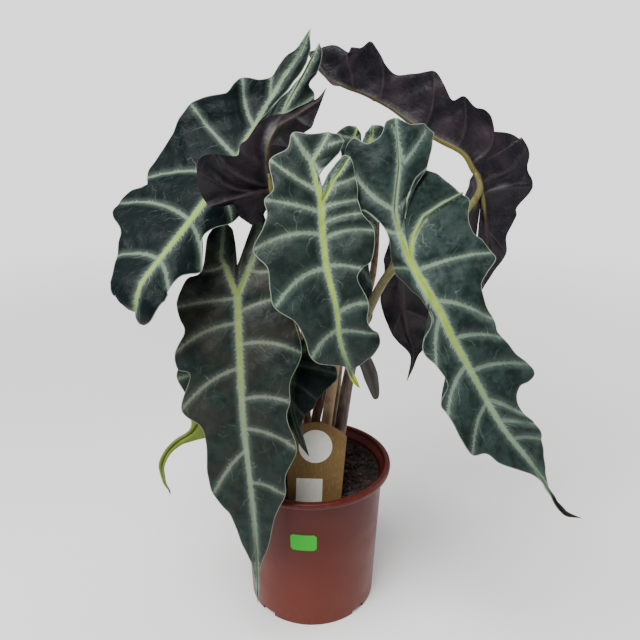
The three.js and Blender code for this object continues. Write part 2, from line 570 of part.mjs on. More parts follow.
function potSolid() {
  const lipBottom = POT.height - POT.rimHeight;
  const inside = (z) => wallRadius(z) - POT.wall;
  const profile = [
    [0, 0], [POT.padRadius, 0], [POT.padRadius + 1, POT.recess], [POT.footInner - 1, POT.recess],
    [POT.footInner, 0], [POT.baseRadius - 0.6, 0], [wallRadius(1), 1], [wallRadius(lipBottom), lipBottom],
    [POT.rimRadius - 1.2, lipBottom + 0.4], [POT.rimRadius, lipBottom + 2], [POT.rimRadius, POT.height - 2],
    [POT.rimRadius - 1.6, POT.height], [POT.mouthRadius + 1, POT.height],
    [POT.mouthRadius, POT.height - 1.5], [inside(lipBottom) + 0.5, lipBottom],
    [inside(lipBottom), lipBottom - 2], [inside(POT.floorTop), POT.floorTop], [0, POT.floorTop],
  ];
  let pot = toSolid(lathe(profile, POT.segments));
  for (let k = 0; k < POT.notchCount; k += 1) {
    const turn = THREE.MathUtils.degToRad(POT.notchStart + 360 / POT.notchCount * k);
    const notch = new THREE.BoxGeometry(POT.notchDepth, POT.notchWidth, POT.notchHeight * 2)
      .translate(POT.baseRadius, 0, 0).rotateZ(turn);
    pot = pot.subtract(toSolid(notch));
  }
  for (let k = 0; k < POT.drainCount; k += 1) {
    const hole = new THREE.CylinderGeometry(POT.drainRadius, POT.drainRadius, POT.floorTop * 4, 12)
      .rotateX(Math.PI / 2).translate(POT.drainRing, 0, 0).rotateZ(2 * Math.PI * k / POT.drainCount);
    pot = pot.subtract(toSolid(hole));
  }
  return pot;
}

// The soil: fills the pot, with a lumpy top and a plain hole for each petiole and for the label
function soilSolid() {
  const inside = (z) => wallRadius(z) - POT.wall - GAP;
  const bottom = POT.floorTop + GAP;
  const profile = [[0, bottom], [inside(bottom), bottom], [inside(SOIL.top - 1), SOIL.top - 1]];
  for (let k = SOIL.rings - 1; k >= 0; k -= 1) {
    profile.push([inside(SOIL.top) * k / SOIL.rings, SOIL.top]);
  }
  const geometry = lathe(profile, SOIL.segments);
  const position = geometry.attributes.position;
  for (let k = 0; k < position.count; k += 1) {
    const [x, y, z] = [position.getX(k), position.getY(k), position.getZ(k)];
    if (z > SOIL.top - 0.5) {
      position.setZ(k, z + SOIL.bump * (Math.sin(x * 0.31 + y * 0.17) + Math.sin(y * 0.37 - x * 0.13)));
    }
  }
  let soil = toSolid(geometry);
  for (const leaf of Object.values(LEAVES)) {
    const [x, y, foot] = leaf.petiole[0];
    const radius = leaf.petioleRadius[0] + 2 * GAP;
    const hole = new THREE.CylinderGeometry(radius, radius, 40, 16).rotateX(Math.PI / 2)
      .translate(x, y, foot - GAP + 20);
    soil = soil.subtract(toSolid(hole));
  }
  return soil.subtract(labelSolid(GAP));
}

// The card label: a stake with an arched top, standing behind the front rim
function labelSolid(grow = 0) {
  const half = LABEL.width / 2 + grow;
  const foot = LABEL.footWidth / 2 + grow;
  const { height } = LABEL;
  const shape = new THREE.Shape();
  shape.moveTo(-foot, -grow);
  shape.lineTo(foot, -grow);
  shape.lineTo(half - 3, height * 0.25);
  shape.lineTo(half, height - LABEL.archRise);
  shape.quadraticCurveTo(half * 0.5, height, 0, height + grow);
  shape.quadraticCurveTo(-half * 0.5, height, -half, height - LABEL.archRise);
  shape.lineTo(-half + 3, height * 0.25);
  shape.closePath();
  const depth = LABEL.thickness + 2 * grow;
  const card = new THREE.ExtrudeGeometry(shape, { depth, bevelEnabled: false, curveSegments: 8 })
    .translate(0, 0, -depth / 2).rotateX(Math.PI / 2 + THREE.MathUtils.degToRad(LABEL.lean))
    .rotateY(THREE.MathUtils.degToRad(LABEL.turn)).translate(LABEL.x, LABEL.y, LABEL.bottom);
  return toSolid(card);
}

// The price sticker: a thin plate with nipped corners, bent round the wall
function stickerSolid() {
  const { width, height, thickness, z, angle, cut, steps } = STICKER;
  const plate = new THREE.BoxGeometry(width, height, thickness, steps, 1, 1);
  const position = plate.attributes.position;
  for (let k = 0; k < position.count; k += 1) {
    const atEnd = Math.abs(position.getX(k)) > width / 2 - 0.01;
    const up = z + position.getY(k) * (atEnd ? 1 - 2 * cut / height : 1);
    const radius = wallRadius(up) + GAP + thickness / 2 + position.getZ(k);
    const turn = position.getX(k) / wallRadius(z) + THREE.MathUtils.degToRad(angle);
    position.setXYZ(k, radius * Math.sin(turn), -radius * Math.cos(turn), up);
  }
  return toSolid(plate);
}

const FINISHES = {
  pot: { color: 0x8a4636, roughness: 0.45, metalness: 0 },
  soil: { color: 0x2a201a, roughness: 1, metalness: 0 },
  label: { color: 0x9c7a48, roughness: 0.8, metalness: 0 },
  sticker: { color: 0x2fd03a, roughness: 0.6, metalness: 0 },
  leaf: { color: 0x27392f, roughness: 0.5, metalness: 0 },
};

function piece(name, solid, finish) {
  const mesh = new THREE.Mesh(toGeometry(solid), new THREE.MeshStandardMaterial(finish));
  mesh.name = name;
  return mesh;
}

const plant = new THREE.Group();
plant.add(piece('pot', potSolid(), FINISHES.pot));
plant.add(piece('soil', soilSolid(), FINISHES.soil));
plant.add(piece('care_label', labelSolid(), FINISHES.label));
plant.add(piece('price_sticker', stickerSolid(), FINISHES.sticker));
for (const [name, leaf] of Object.entries(LEAVES)) {
  plant.add(piece(name, leafSolid(leaf), FINISHES.leaf));
}

export default plant;
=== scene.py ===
"""A potted alocasia polly dressed for rendering: pot, soil, card label, price sticker and ten leaves.

Sizes are in millimetres in the tables and in metres on the panel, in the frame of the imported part:
+Z up, -Y towards the viewer, the origin in the middle of the pot's underside.
"""

import math

import bpy
import bmesh
import numpy as np
from bpy.props import FloatProperty, FloatVectorProperty, IntProperty, PointerProperty
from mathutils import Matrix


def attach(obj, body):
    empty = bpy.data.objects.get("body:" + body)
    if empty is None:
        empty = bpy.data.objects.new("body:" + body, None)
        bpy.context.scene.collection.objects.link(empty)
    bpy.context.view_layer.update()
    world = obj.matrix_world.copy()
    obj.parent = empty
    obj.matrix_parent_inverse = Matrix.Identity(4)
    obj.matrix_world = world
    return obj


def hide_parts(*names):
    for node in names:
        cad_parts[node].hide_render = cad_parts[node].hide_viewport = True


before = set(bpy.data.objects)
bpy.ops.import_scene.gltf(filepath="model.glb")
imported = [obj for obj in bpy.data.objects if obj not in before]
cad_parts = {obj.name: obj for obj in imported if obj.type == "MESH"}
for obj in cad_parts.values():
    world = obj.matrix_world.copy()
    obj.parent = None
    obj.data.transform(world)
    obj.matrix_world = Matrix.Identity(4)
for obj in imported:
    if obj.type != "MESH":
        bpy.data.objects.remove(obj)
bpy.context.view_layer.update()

bl_info = {
    "name": "Potted Alocasia Polly",
    "version": (1, 0, 0),
    "blender": (4, 5, 0),
    "location": "3D View > Sidebar > Alocasia",
    "description": "Builds the leaves, pot, soil and labels of a potted alocasia polly",
    "category": "Add Mesh",
}

MM = 0.001

# Each leaf is drawn flat and then bent. In the flat drawing u runs across the blade and v along
# the midrib, from the petiole's joint at 0,0 to the tip. A margin runs from the tip of the basal
# lobe to the tip of the leaf, and a third number on a margin point is where the vein that ends
# there leaves the midrib (or, when it is negative, the lobe's own vein).
# spine: x, y, z, left fold, right fold (degrees), from the lobes to the tip.
# joint: which spine row the petiole meets. facing: where the upper face looks.
# forks: short veins that branch off, each a line of flat points. step: how far apart mesh points are.
# petiole_radius and petiole_tones: at the foot and at the joint. tip: its tone and length.
# shade darkens a leaf's upper face with painted shade and dims its glints; the number after it lays a
# painted grey-green sheen on the upper face.
LEAVES = {
    "front_left": dict(
        facing=(0, -1, 0.3), curl=(-0.15, -0.15), joint=2, step=1.5, petiole_radius=(4.2, 2.6),
        petiole_tones=("russet", "olive"), tip=("pale", 30), warm_reach=75, brownness=0.8, shade=0.25,
        painted_sheen=0.2, paleness=0.72, olive=0.3,
        spine=[(-58, -8, 376, -8, -8), (-55, -26, 341, -5, -5), (-54, -46, 303, 0, 0),
            (-52, -64, 260, 5, 5), (-50, -77, 216, 5, 5), (-46, -84, 169, 5, 5), (-43, -86, 115, 5, 5),
            (-43, -85, 80, 0, 0), (-44, -82, 48, 0, 0)],
        left=dict(
            margin=[(-9, -59), (-21, -48), (-27, -20, -26), (-37, -14), (-45, 0), (-46, 6, 1), (-43, 15),
                (-40, 25), (-48, 40, 20), (-46, 52), (-37, 57), (-45, 82, 53), (-32, 94), (-29, 107),
                (-31, 130), (-29, 150, 116), (-18, 169), (-11, 196), (-5, 214), (-1.5, 243)],
            lobe=[(-12, -30)], sinus=[(0, -24), (-1, -39), (-3, -52)]),
        right=dict(
            margin=[(20, -66), (25, -44), (29, -20, -22), (35, 2, 12), (42, 22), (46, 44, 36), (37, 64),
                (36, 80, 77), (33, 92), (38, 118, 99), (28, 137), (26, 155, 143), (17, 172), (10, 199),
                (3, 219), (1.5, 243)],
            lobe=[(11, -26)], sinus=[(0, -24), (7, -43), (14, -60)]),
        petiole=[(-3, -14, 107), (-3, -14, 128), (-5, -12, 200), (-14, -9, 266), (-40, -29, 306),
            (-53, -44, 302)]),
    "centre": dict(
        facing=(0.2, -1, 0.1), curl=(-0.2, -0.2), joint=2, step=1.4, petiole_radius=(5, 2.8),
        petiole_tones=("tan", "olive"), tip=("yellow", 22), warm_reach=110, brownness=0.15, shade=0.15,
        painted_sheen=0.35, paleness=1.0, olive=0.3,
        spine=[(6, -42, 429, -8, -8), (7, -54, 404, -5, -5), (8, -64, 377, 5, 5), (9, -70, 356, 8, 8),
            (12, -78, 333, 8, 8), (18, -84, 309, 8, 8), (21, -85, 285, 8, 8), (26, -80, 266, 5, 5),
            (30, -70, 251, 0, 0), (37, -64, 237, 0, 0)],
        left=dict(
            margin=[(7, -49), (-7, -46), (-18, -48, -28), (-22, -36), (-34, -29, -8), (-33, -15), (-33, -8),
                (-39, -2, 7), (-38, 7), (-41, 15), (-49, 29, 22), (-41, 40), (-42, 51), (-42, 61, 45),
                (-31, 76), (-25, 91), (-23, 102, 89), (-16, 110), (-6, 117), (-2, 124), (-2, 142)],
            lobe=[(-6, -26)], sinus=[(1, -11), (-1, -21), (5, -25), (14, -34), (18, -43), (14, -48)],
            forks=[[(-1, -21), (-5, -29), (-11, -36), (-15, -43)],
                   [(7, -39), (13, -41), (18, -43)]]),
        right=dict(
            margin=[(21, -32), (25, -18, -14), (26, -2, 3), (28, 8, 14), (36, 22, 25), (32, 44),
                (24, 51, 44), (19, 58), (23, 74, 77), (21, 86), (28, 102, 90), (25, 114), (14, 122),
                (3, 127), (2, 142)],
            lobe=[(9, -15)], sinus=[(1, -11), (5, -19), (12, -28), (17, -33)]),
        petiole=[(9, -15, 107), (9, -15, 128), (13, -16, 180), (17, -18, 212), (20, -22, 240),
            (19, -30, 285), (12, -44, 345), (8, -62, 376)]),
    "right": dict(
        facing=(0.3, -1, 0.3), curl=(-0.2, -0.2), joint=2, lift=(4, -3), step=1.5,
        petiole_radius=(5.6, 3.2),
        petiole_tones=("plum", "olive"), tip=("dark", 52), warm_reach=90, brownness=0.0, shade=0.2,
        painted_sheen=0.55, paleness=0.85, olive=0.3,
        spine=[(51, -44, 410, -40, 0), (58, -60, 368, -60, 0), (69, -76, 340, -72, 5),
            (87, -92, 311, -65, 8), (98, -98, 290, -40, 5), (109, -102, 271, -20, 5),
            (122, -104, 248, 0, 5), (137, -106, 224, 5, 5), (155, -105, 201, 10, 0),
            (171, -102, 177, 20, 0), (191, -94, 148, 0, 0), (209, -90, 138, 0, 0)],
        left=dict(
            margin=[(11, -100), (3, -97), (-2, -88), (-10, -84), (-18, -90), (-26, -82, -36), (-25, -71),
                (-30, -56), (-30, -48), (-24, -43), (-15, -39), (-8, -25, -20), (-9, -12), (-19, -2, 7),
                (-18, 8), (-9, 23), (-5, 35), (-8, 46), (-19, 55), (-23, 62), (-19, 74, 43), (-18, 88),
                (-29, 97), (-29, 106, 82), (-31, 122), (-30, 136, 114), (-21, 142), (-18, 154), (-10, 171),
                (-3, 186), (-1.5, 205), (-2, 235)],
            lobe=[(0, -34), (8, -66)],
            sinus=[(7, -29), (10, -37), (21, -54), (28, -62), (34, -77), (38, -87), (31, -94), (21, -94)],
            forks=[[(12, -68), (10, -80), (7, -94)],
                   [(12, -68), (21, -77), (32, -89)]]),
        right=dict(
            margin=[(56, -43), (60, -35), (54, -17), (51, -5), (54, 11), (56, 23, 9), (54, 29), (42, 34),
                (34, 39), (32, 50), (33, 65, 33), (30, 73), (32, 80, 62), (35, 96), (42, 111, 88),
                (41, 118), (34, 120), (25, 118), (19, 126), (19, 140, 112), (21, 154, 130), (18, 168, 148),
                (12, 179), (5, 191), (1.5, 205), (2, 235)],
            lobe=[(8, -14), (21, -28)],
            sinus=[(7, -29), (10, -42), (19, -57), (29, -64), (38, -60), (47, -53)],
            forks=[[(7, -10), (16, -20), (29, -32), (42, -38), (53, -40)]]),
        petiole=[(20, -8, 107), (20, -8, 128), (25.5, -8, 175), (29.5, -9, 207), (33, -12, 231),
            (43.5, -26, 280), (58, -51, 323), (68, -74, 340)]),
    "upper_left": dict(
        facing=(-0.35, -0.8, 0.5), curl=(-0.12, -0.1), joint=3, step=1.5, petiole_radius=(4.4, 2.8),
        petiole_tones=("russet", "olive"), tip=("dark", 12), warm_reach=150, brownness=0.0, shade=0.8,
        painted_sheen=0.05, paleness=0.85, olive=0.3,
        spine=[(4, 46, 497, 60, -50), (-11, 30, 466, 60, -50), (-32, 6, 431, 35, -45),
            (-54, -20, 397, 10, -45), (-74, -46, 374, 0, -40), (-92, -70, 352, 0, -30),
            (-109, -92, 332, -5, -20), (-113, -98, 323, -5, -10), (-115, -99, 314, 0, 0),
            (-118, -92, 308, 0, 0), (-120, -78, 309, 0, 0), (-121, -60, 313, 0, 0)],
        left=dict(
            margin=[(-1, -125), (-3, -108), (-9, -98), (-11, -88), (-12, -77, -60), (-18, -69),
                (-30, -63, -34), (-33, -56), (-34, -47), (-37, -43), (-44, -38), (-55, -28, -4), (-57, -14),
                (-58, 0), (-60, 12), (-62, 26), (-59, 36, 15), (-52, 44), (-64, 51), (-66, 63, 59),
                (-60, 76), (-44, 86), (-34, 104, 96), (-24, 122), (-17, 132), (-12, 146), (-6, 160),
                (-3, 170)],
            lobe=[(-3, -20), (-3, -51), (-3, -80), (1, -104)],
            sinus=[(-2, -36), (3, -57), (7, -85), (8, -98), (6, -110)]),
        right=dict(
            margin=[(10, -117), (15, -111), (18, -95), (17, -83), (25, -79, -52), (30, -59), (34, -36, -26),
                (32, -14), (34, 4, 2), (26, 24), (24, 40, 24), (15, 57), (15, 68), (27, 85, 60), (19, 98),
                (18, 112, 96), (20, 120), (17, 129), (9, 142), (5, 156), (2, 170)],
            lobe=[(8, -26), (11, -50), (10, -75), (10, -95)],
            sinus=[(-2, -36), (4, -63), (9, -87), (9, -101)]),
        petiole=[(0, 3, 107), (0, 3, 128), (3, 4, 169), (9, 5, 200), (12, 7, 235), (12, 8, 290),
            (4, 8, 345), (-18, 4, 388), (-42, -8, 402), (-53, -19, 397)]),
    "back_right": dict(
        facing=(0.2, 1, 0.3), curl=(0.1, 0.1), joint=2, step=1.6, petiole_radius=(4.4, 2.8),
        petiole_tones=("plum", "olive"), tip=("dark", 10), warm_reach=50, brownness=0.1, shade=0.0,
        painted_sheen=0.3, paleness=0.9, olive=0.8, dark_edged=True,
        spine=[(154, 72, 260, 40, 0), (148, 66, 318, 60, 0), (145, 62, 366, 80, 0), (137, 62, 382, 90, 0),
            (127, 64, 395, 90, 0), (103, 70, 407, 90, 0), (82, 78, 420, 90, 0), (65, 84, 431, 90, 0),
            (47, 88, 440, 90, 0), (29, 90, 446, 80, 0), (16, 92, 452, 70, 0), (6, 94, 464, 60, 0),
            (-3, 98, 474, 40, 0)],
        left=dict(
            margin=[(-8, -92), (-22, -76), (-30, -52, -45), (-32, -26), (-44, -4, -6), (-38, 14),
                (-46, 34, 16), (-36, 52), (-44, 72, 50), (-34, 90), (-40, 108, 86), (-30, 124),
                (-32, 142, 122), (-20, 160), (-10, 180), (-2, 188)],
            lobe=[(-10, -36)], sinus=[(0, -18), (-2, -48), (-4, -76)]),
        right=dict(
            margin=[(3, -97), (12, -82), (24, -62, -40), (24, -45), (31, -26), (31, -18), (43, -3, -6),
                (40, 5), (46, 11, 4), (42, 24), (28, 31), (36, 34, 22), (38, 38), (36, 43), (40, 54, 40),
                (33, 64), (40, 79), (44, 92, 72), (33, 105), (25, 116), (30, 128), (41, 139, 118),
                (34, 147), (29, 165, 142), (20, 182), (6, 190)],
            lobe=[(6, -30), (9, -63)], sinus=[(0, -18), (-1, -48), (-1, -76)]),
        petiole=[(22, 25, 107), (22, 25, 128), (26.5, 26, 157), (32, 29, 188), (37, 36, 216), (50, 52, 256),
            (74, 62, 292), (112, 62, 318), (138, 62, 350), (145, 62, 366)]),
    "folded": dict(
        facing=(-0.5, 1, 0.3), curl=(0.3, 0.3), joint=1, step=1.5, petiole_radius=(3.8, 2.4),
        petiole_tones=("russet", "olive"), tip=("dark", 10), warm_reach=40, brownness=0.2, shade=0.2,
        painted_sheen=0.2, paleness=0.8, olive=0.2, dark_edged=True,
        spine=[(-25, -28, 353, -15, 20), (-28, -38, 381, -15, 10), (-30, -44, 399, -15, 10),
            (-29, -45, 413, -10, 10), (-23, -40, 424, 0, 10), (-12, -28, 430, 0, 10), (-1, -18, 436, 0, 10),
            (7, -12, 441, 0, 10), (12, -8, 449, 0, 0)],
        left=dict(
            margin=[(-49, 9), (-52, 18), (-52, 24, -14), (-49, 27), (-38, 28, 4), (-22, 27), (-20, 31, 22),
                (-15, 34), (-10, 45), (-5, 60, 46), (-4, 74), (-2, 90)],
            lobe=[(-14, 4), (-34, 8)],
            sinus=[(-3, -12), (-11, -21), (-20, -21), (-29, -9), (-31, 2), (-41, 4)]),
        right=dict(
            margin=[(12, -24), (18, -12, -12), (21, 6, 4), (18, 26), (20, 44, 34), (15, 62), (13, 76, 66),
                (6, 88), (2, 95)],
            lobe=[(7, -13)], sinus=[(-3, -12), (1, -19), (6, -24)]),
        petiole=[(-9, -4, 107), (-9, -4, 128), (-5, 1, 240), (-13, 0, 320), (-24, -16, 366),
            (-29, -37, 380)]),
    "back_middle": dict(
        facing=(0.1, -1, 0.1), curl=(-0.2, -0.2), joint=2, step=1.8, petiole_radius=(3.2, 2.6),
        petiole_tones=("sand", "russet"), tip=("ash", 52), warm_reach=40, brownness=0.1, shade=0.3,
        painted_sheen=0.5, paleness=0.7, olive=0.3,
        spine=[(39, 2, 430, 0, 0), (39, 0, 416, 5, 5), (38, -3, 403, 10, 10), (36, -6, 375, 10, 10),
            (32, -7, 340, 10, 10), (29, -6, 304, 10, 10), (32, -4, 269, 5, 5), (38, -2, 246, 0, 0),
            (46, 0, 229, 0, 0), (52, 2, 211, 0, 0), (56, 2, 193, 0, 0)],
        left=dict(
            margin=[(-5, -19), (-13, -19), (-20, -12, -12), (-18, -3), (-16, 6), (-21, 20, 8), (-19, 40),
                (-23, 60, 40), (-20, 82), (-23, 104, 78), (-18, 124), (-14, 140, 112), (-8, 158), (-6, 176),
                (-6, 194), (-3, 212)],
            lobe=[(-6, -10)], sinus=[(0, -7), (-1, -14)]),
        right=dict(
            margin=[(7, -20), (15, -19), (20, -12, -12), (18, -4), (15, 6), (20, 20, 8), (16, 40),
                (20, 60, 40), (16, 82), (20, 104, 78), (19, 124), (18, 136, 112), (9, 152), (6, 170),
                (6, 192), (3, 212)],
            lobe=[(7, -10)], sinus=[(0, -7), (2, -14)]),
        petiole=[(15, 4, 107), (15, 4, 128), (18.5, 4, 169), (22, 4, 200), (24.5, 5, 227), (33, 6, 258),
            (48, 7, 292), (52, 7, 341), (48, 6, 385), (39, -2, 401)]),
    "hanging_right": dict(
        facing=(0.1, 1, 0.1), curl=(0.2, 0.2), joint=2, step=1.8, petiole_radius=(3.6, 2.2),
        petiole_tones=("plum", "plum"), tip=("ash", 14), warm_reach=30, brownness=0.1, shade=0.2,
        painted_sheen=0.2, paleness=0.8, olive=0.12, dark_edged=True,
        spine=[(77, 24, 386, 0, 0), (78, 28, 357, 0, 0), (78, 34, 326, 10, 10), (79, 40, 280, 15, 15),
            (84, 42, 246, 10, 10), (91, 40, 223, 0, 0), (91, 38, 210, 0, 0), (86, 36, 193, 0, 0)],
        left=dict(
            margin=[(-8, -44), (-16, -32), (-20, -16, -16), (-20, 0), (-27, 18, 6), (-30, 36),
                (-29, 58, 34), (-27, 76), (-25, 86, 66), (-15, 102), (-4, 111), (-1.5, 124)],
            lobe=[(-5, -20)], sinus=[(0, -12), (-2, -26), (-5, -38)]),
        right=dict(
            margin=[(8, -42), (12, -28), (14, -14, -16), (13, 2), (17, 20, 6), (17, 36), (20, 56, 34),
                (20, 68), (14, 88, 66), (7, 102), (3, 111), (1.5, 124)],
            lobe=[(4, -20)], sinus=[(0, -12), (2, -26), (5, -36)]),
        petiole=[(22, 12, 107), (22, 12, 131), (26, 13, 164), (31, 15, 195), (36, 18, 224), (48, 23, 265),
            (66, 29, 301), (77, 32, 328)]),
    # This leaf lies in the shadow of those above it: its high shade and low paleness are painted shade.
    "low": dict(
        facing=(0, -1, 0.2), curl=(-0.2, -0.2), joint=1, step=1.8, petiole_radius=(3.2, 2),
        petiole_tones=("russet", "olive"), tip=("dark", 14), warm_reach=20, brownness=0.3, shade=0.85,
        painted_sheen=0.0, paleness=0.14, olive=0.2, dark_edged=True,
        spine=[(-11, -34, 263, 0, 0), (-12, -40, 249, 10, 5), (-14, -46, 236, 10, 5),
            (-15, -54, 223, 10, 5), (-14, -58, 213, 5, 5), (-10, -62, 201, 0, 0), (-6, -64, 189, 0, 0),
            (-1, -66, 178, 0, 0)],
        left=dict(
            margin=[(-10, -22), (-17, -16), (-19, -6, -9), (-18, 2), (-21, 10, 5), (-19, 19), (-16, 29, 18),
                (-10, 39), (-6, 48, 32), (-4, 56), (-3, 66)],
            lobe=[(-6, -11)], sinus=[(0, -7), (-2, -16)]),
        right=dict(
            margin=[(12, -24), (21, -19), (24, -8, -9), (24, -2), (26, 3), (31, 1), (34, 6, 4), (33, 13),
                (25, 24), (20, 32, 18), (16, 42), (8, 47, 32), (3, 54), (2, 66)],
            lobe=[(8, -12)], sinus=[(0, -7), (4, -16)]),
        petiole=[(-12, -22, 107), (-12, -22, 128), (-13, -20, 190), (-13, -26, 236), (-12, -38, 249)]),
    "behind_left": dict(
        facing=(-0.2, -1, 0.1), curl=(-0.2, -0.2), joint=1, step=1.8, petiole_radius=(3.6, 2.2),
        petiole_tones=("russet", "tan"), tip=("olive", 95), warm_reach=60, brownness=0.5, shade=0.3,
        painted_sheen=0.1, paleness=0.6, olive=0.3,
        spine=[(-49, -16, 316, 0, 0), (-56, -24, 294, 0, 0), (-64, -36, 264, 0, 0), (-76, -46, 228, 0, 0),
            (-90, -52, 196, 0, 0), (-105, -56, 185, 0, 0), (-115, -56, 173, 0, 0), (-119, -56, 157, 0, 0),
            (-115, -56, 136, 0, 0)],
        left=dict(
            margin=[(-8, -22), (-15, -14, -10), (-18, -2), (-22, 14, 4), (-25, 34), (-29, 52, 34),
                (-31, 66), (-30, 78, 62), (-20, 86), (-13, 98), (-4, 110), (-3, 130), (-3, 150), (-2, 166)],
            lobe=[(-4, -11)], sinus=[(0, -7), (-4, -18)]),
        right=dict(
            margin=[(9, -22), (15, -12, -10), (18, 0), (20, 20, 8), (18, 36), (22, 58, 40), (21, 78),
                (20, 94, 72), (14, 106), (6, 116), (3, 132), (3, 150), (2, 166)],
            lobe=[(4, -11)], sinus=[(0, -7), (4, -18)]),
        petiole=[(-10, 5, 107), (-10, 5, 128), (-16, 4, 200), (-34, -4, 262), (-48, -16, 292),
            (-55, -23, 294)]),
}

# Curves and faces


def smooth(x):
    t = np.clip(x, 0, 1)
    return t * t * (3 - 2 * t)


def unit(vectors):
    return vectors / np.linalg.norm(vectors, axis=-1, keepdims=True)


def columns_at(x, known, table):
    """Reads every column of a table at x."""
    return np.stack([np.interp(x, known, column) for column in np.asarray(table, float).T], -1)


def run_length(points):
    return np.concatenate([[0], np.cumsum(np.linalg.norm(np.diff(points, axis=0), axis=1))])


def along_line(points, lengths):
    return columns_at(lengths, run_length(points), points)


def padded(rows):
    rows = np.asarray(rows, float)
    return np.vstack([2 * rows[0] - rows[1], rows, 2 * rows[-1] - rows[-2]])


def spline(rows, t):
    """Smooth curve through the rows at the parameters t (a whole number for each row)."""
    t, points = np.atleast_1d(t), padded(rows)
    i = np.clip(np.floor(t).astype(int), 0, len(rows) - 2)
    f = (t - i)[:, None]
    before, start, end, after = points[i], points[i + 1], points[i + 2], points[i + 3]
    return ((2 * f**3 - 3 * f**2 + 1) * start + (f**3 - 2 * f**2 + f) * (end - before) / 2
            + (3 * f**2 - 2 * f**3) * end + (f**3 - f**2) * (after - start) / 2)


def distance_to_line(points, line):
    """Least distance from each flat point to a polyline."""
    best = np.full(len(points), 1e9)
    for a, b in zip(line[:-1], line[1:]):
        along = b - a
        f = np.clip(((points - a) @ along) / max(along @ along, 1e-9), 0, 1)
        best = np.minimum(best, np.linalg.norm(points - a - f[:, None] * along, axis=1))
    return best


def turned(points, angle):
    """Turns points round the Z axis."""
    c, s = math.cos(angle), math.sin(angle)
    return points @ np.array([(c, s, 0), (-s, c, 0), (0, 0, 1)])


def closed_sheet(faces, count):
    """Faces of a thin body: its front's faces, its back, count points further on, and its rim."""
    directed = {(face[k - 1], face[k]) for face in faces for k in range(len(face))}
    rim = [(b, a, a + count, b + count) for a, b in sorted(directed) if (b, a) not in directed]
    return [*faces, *([i + count for i in face[::-1]] for face in faces), *rim]


def tube_faces(rings, around, first=0):
    """Faces between neighbouring rings of points, numbered from first."""
    quads = []
    for ring in range(first, first + (rings - 1) * around, around):
        for k in range(around):
            a, b = ring + k, ring + (k + 1) % around
            quads.append((a, b, b + around, a + around))
    return quads


def stacked(parts):
    """Joins parts, each its vertices and faces, into one mesh."""
    vertices, faces, count = [], [], 0
    for part, part_faces in parts:
        vertices.append(part)
        faces += [tuple(i + count for i in face) for face in part_faces]
        count += len(part)
    return np.vstack(vertices), faces


# The flat drawing of a leaf and its bent midrib

CREASE_WIDTH, LOBE_CREASE_WIDTH, CREASE_CHANGE = 3, 20, 30


class Midrib:
    """The bent midrib: place and side directions against the distance from the petiole's joint."""

    ROW_STEPS = 24

    def __init__(self, leaf):
        last = len(leaf["spine"]) - 1
        sampled = spline(leaf["spine"], np.linspace(0, last, last * self.ROW_STEPS + 1))
        self.points, self.folds = sampled[:, :3], sampled[:, 3:]
        run = run_length(self.points)
        joint = leaf["joint"] * self.ROW_STEPS
        self.v = run - run[joint]
        self.along = unit(np.gradient(self.points, run, axis=0))
        self.across = np.zeros_like(self.along)
        self.across[joint] = unit(np.cross(leaf["facing"], self.along[joint]))
        for order in (range(joint + 1, len(run)), range(joint - 1, -1, -1)):
            carried = self.across[joint]
            for k in order:
                carried = unit(carried - self.along[k] * (carried @ self.along[k]))
                self.across[k] = carried
        self.up = np.cross(self.along, self.across)

    def at(self, v):
        tables = (self.points, self.along, self.across, self.up, self.folds)
        point, along, across, up, folds = (columns_at(v, self.v, table) for table in tables)
        beyond = np.minimum(v - self.v[0], 0) + np.maximum(v - self.v[-1], 0)
        return point + along * beyond[..., None], unit(across), unit(up), folds


def bend(leaf, midrib, flat):
    """Places flat points in space and gives the blade's upward direction there."""
    u, v = flat.T
    point, across, up, folds = midrib.at(v)
    left = u < 0
    fold = np.radians(np.where(left, *folds.T))
    fold = np.where(np.abs(fold) < 1e-5, 1e-5, fold)
    curl = np.radians(np.where(left, *leaf["curl"]))
    crease = CREASE_WIDTH + (LOBE_CREASE_WIDTH - CREASE_WIDTH) * smooth(-v / CREASE_CHANGE)
    near = np.minimum(np.abs(u), crease)
    rate = fold / crease
    start = rate * near
    angle = start + curl * (np.abs(u) - near)
    out = np.sign(u) * (np.sin(start) / rate + (np.sin(angle) - np.sin(start)) / curl)
    rise = (1 - np.cos(start)) / rate + (np.cos(start) - np.cos(angle)) / curl
    place = point + across * out[:, None] + up * rise[:, None]
    return place, up * np.cos(angle)[:, None] - across * (np.sign(u) * np.sin(angle))[:, None]


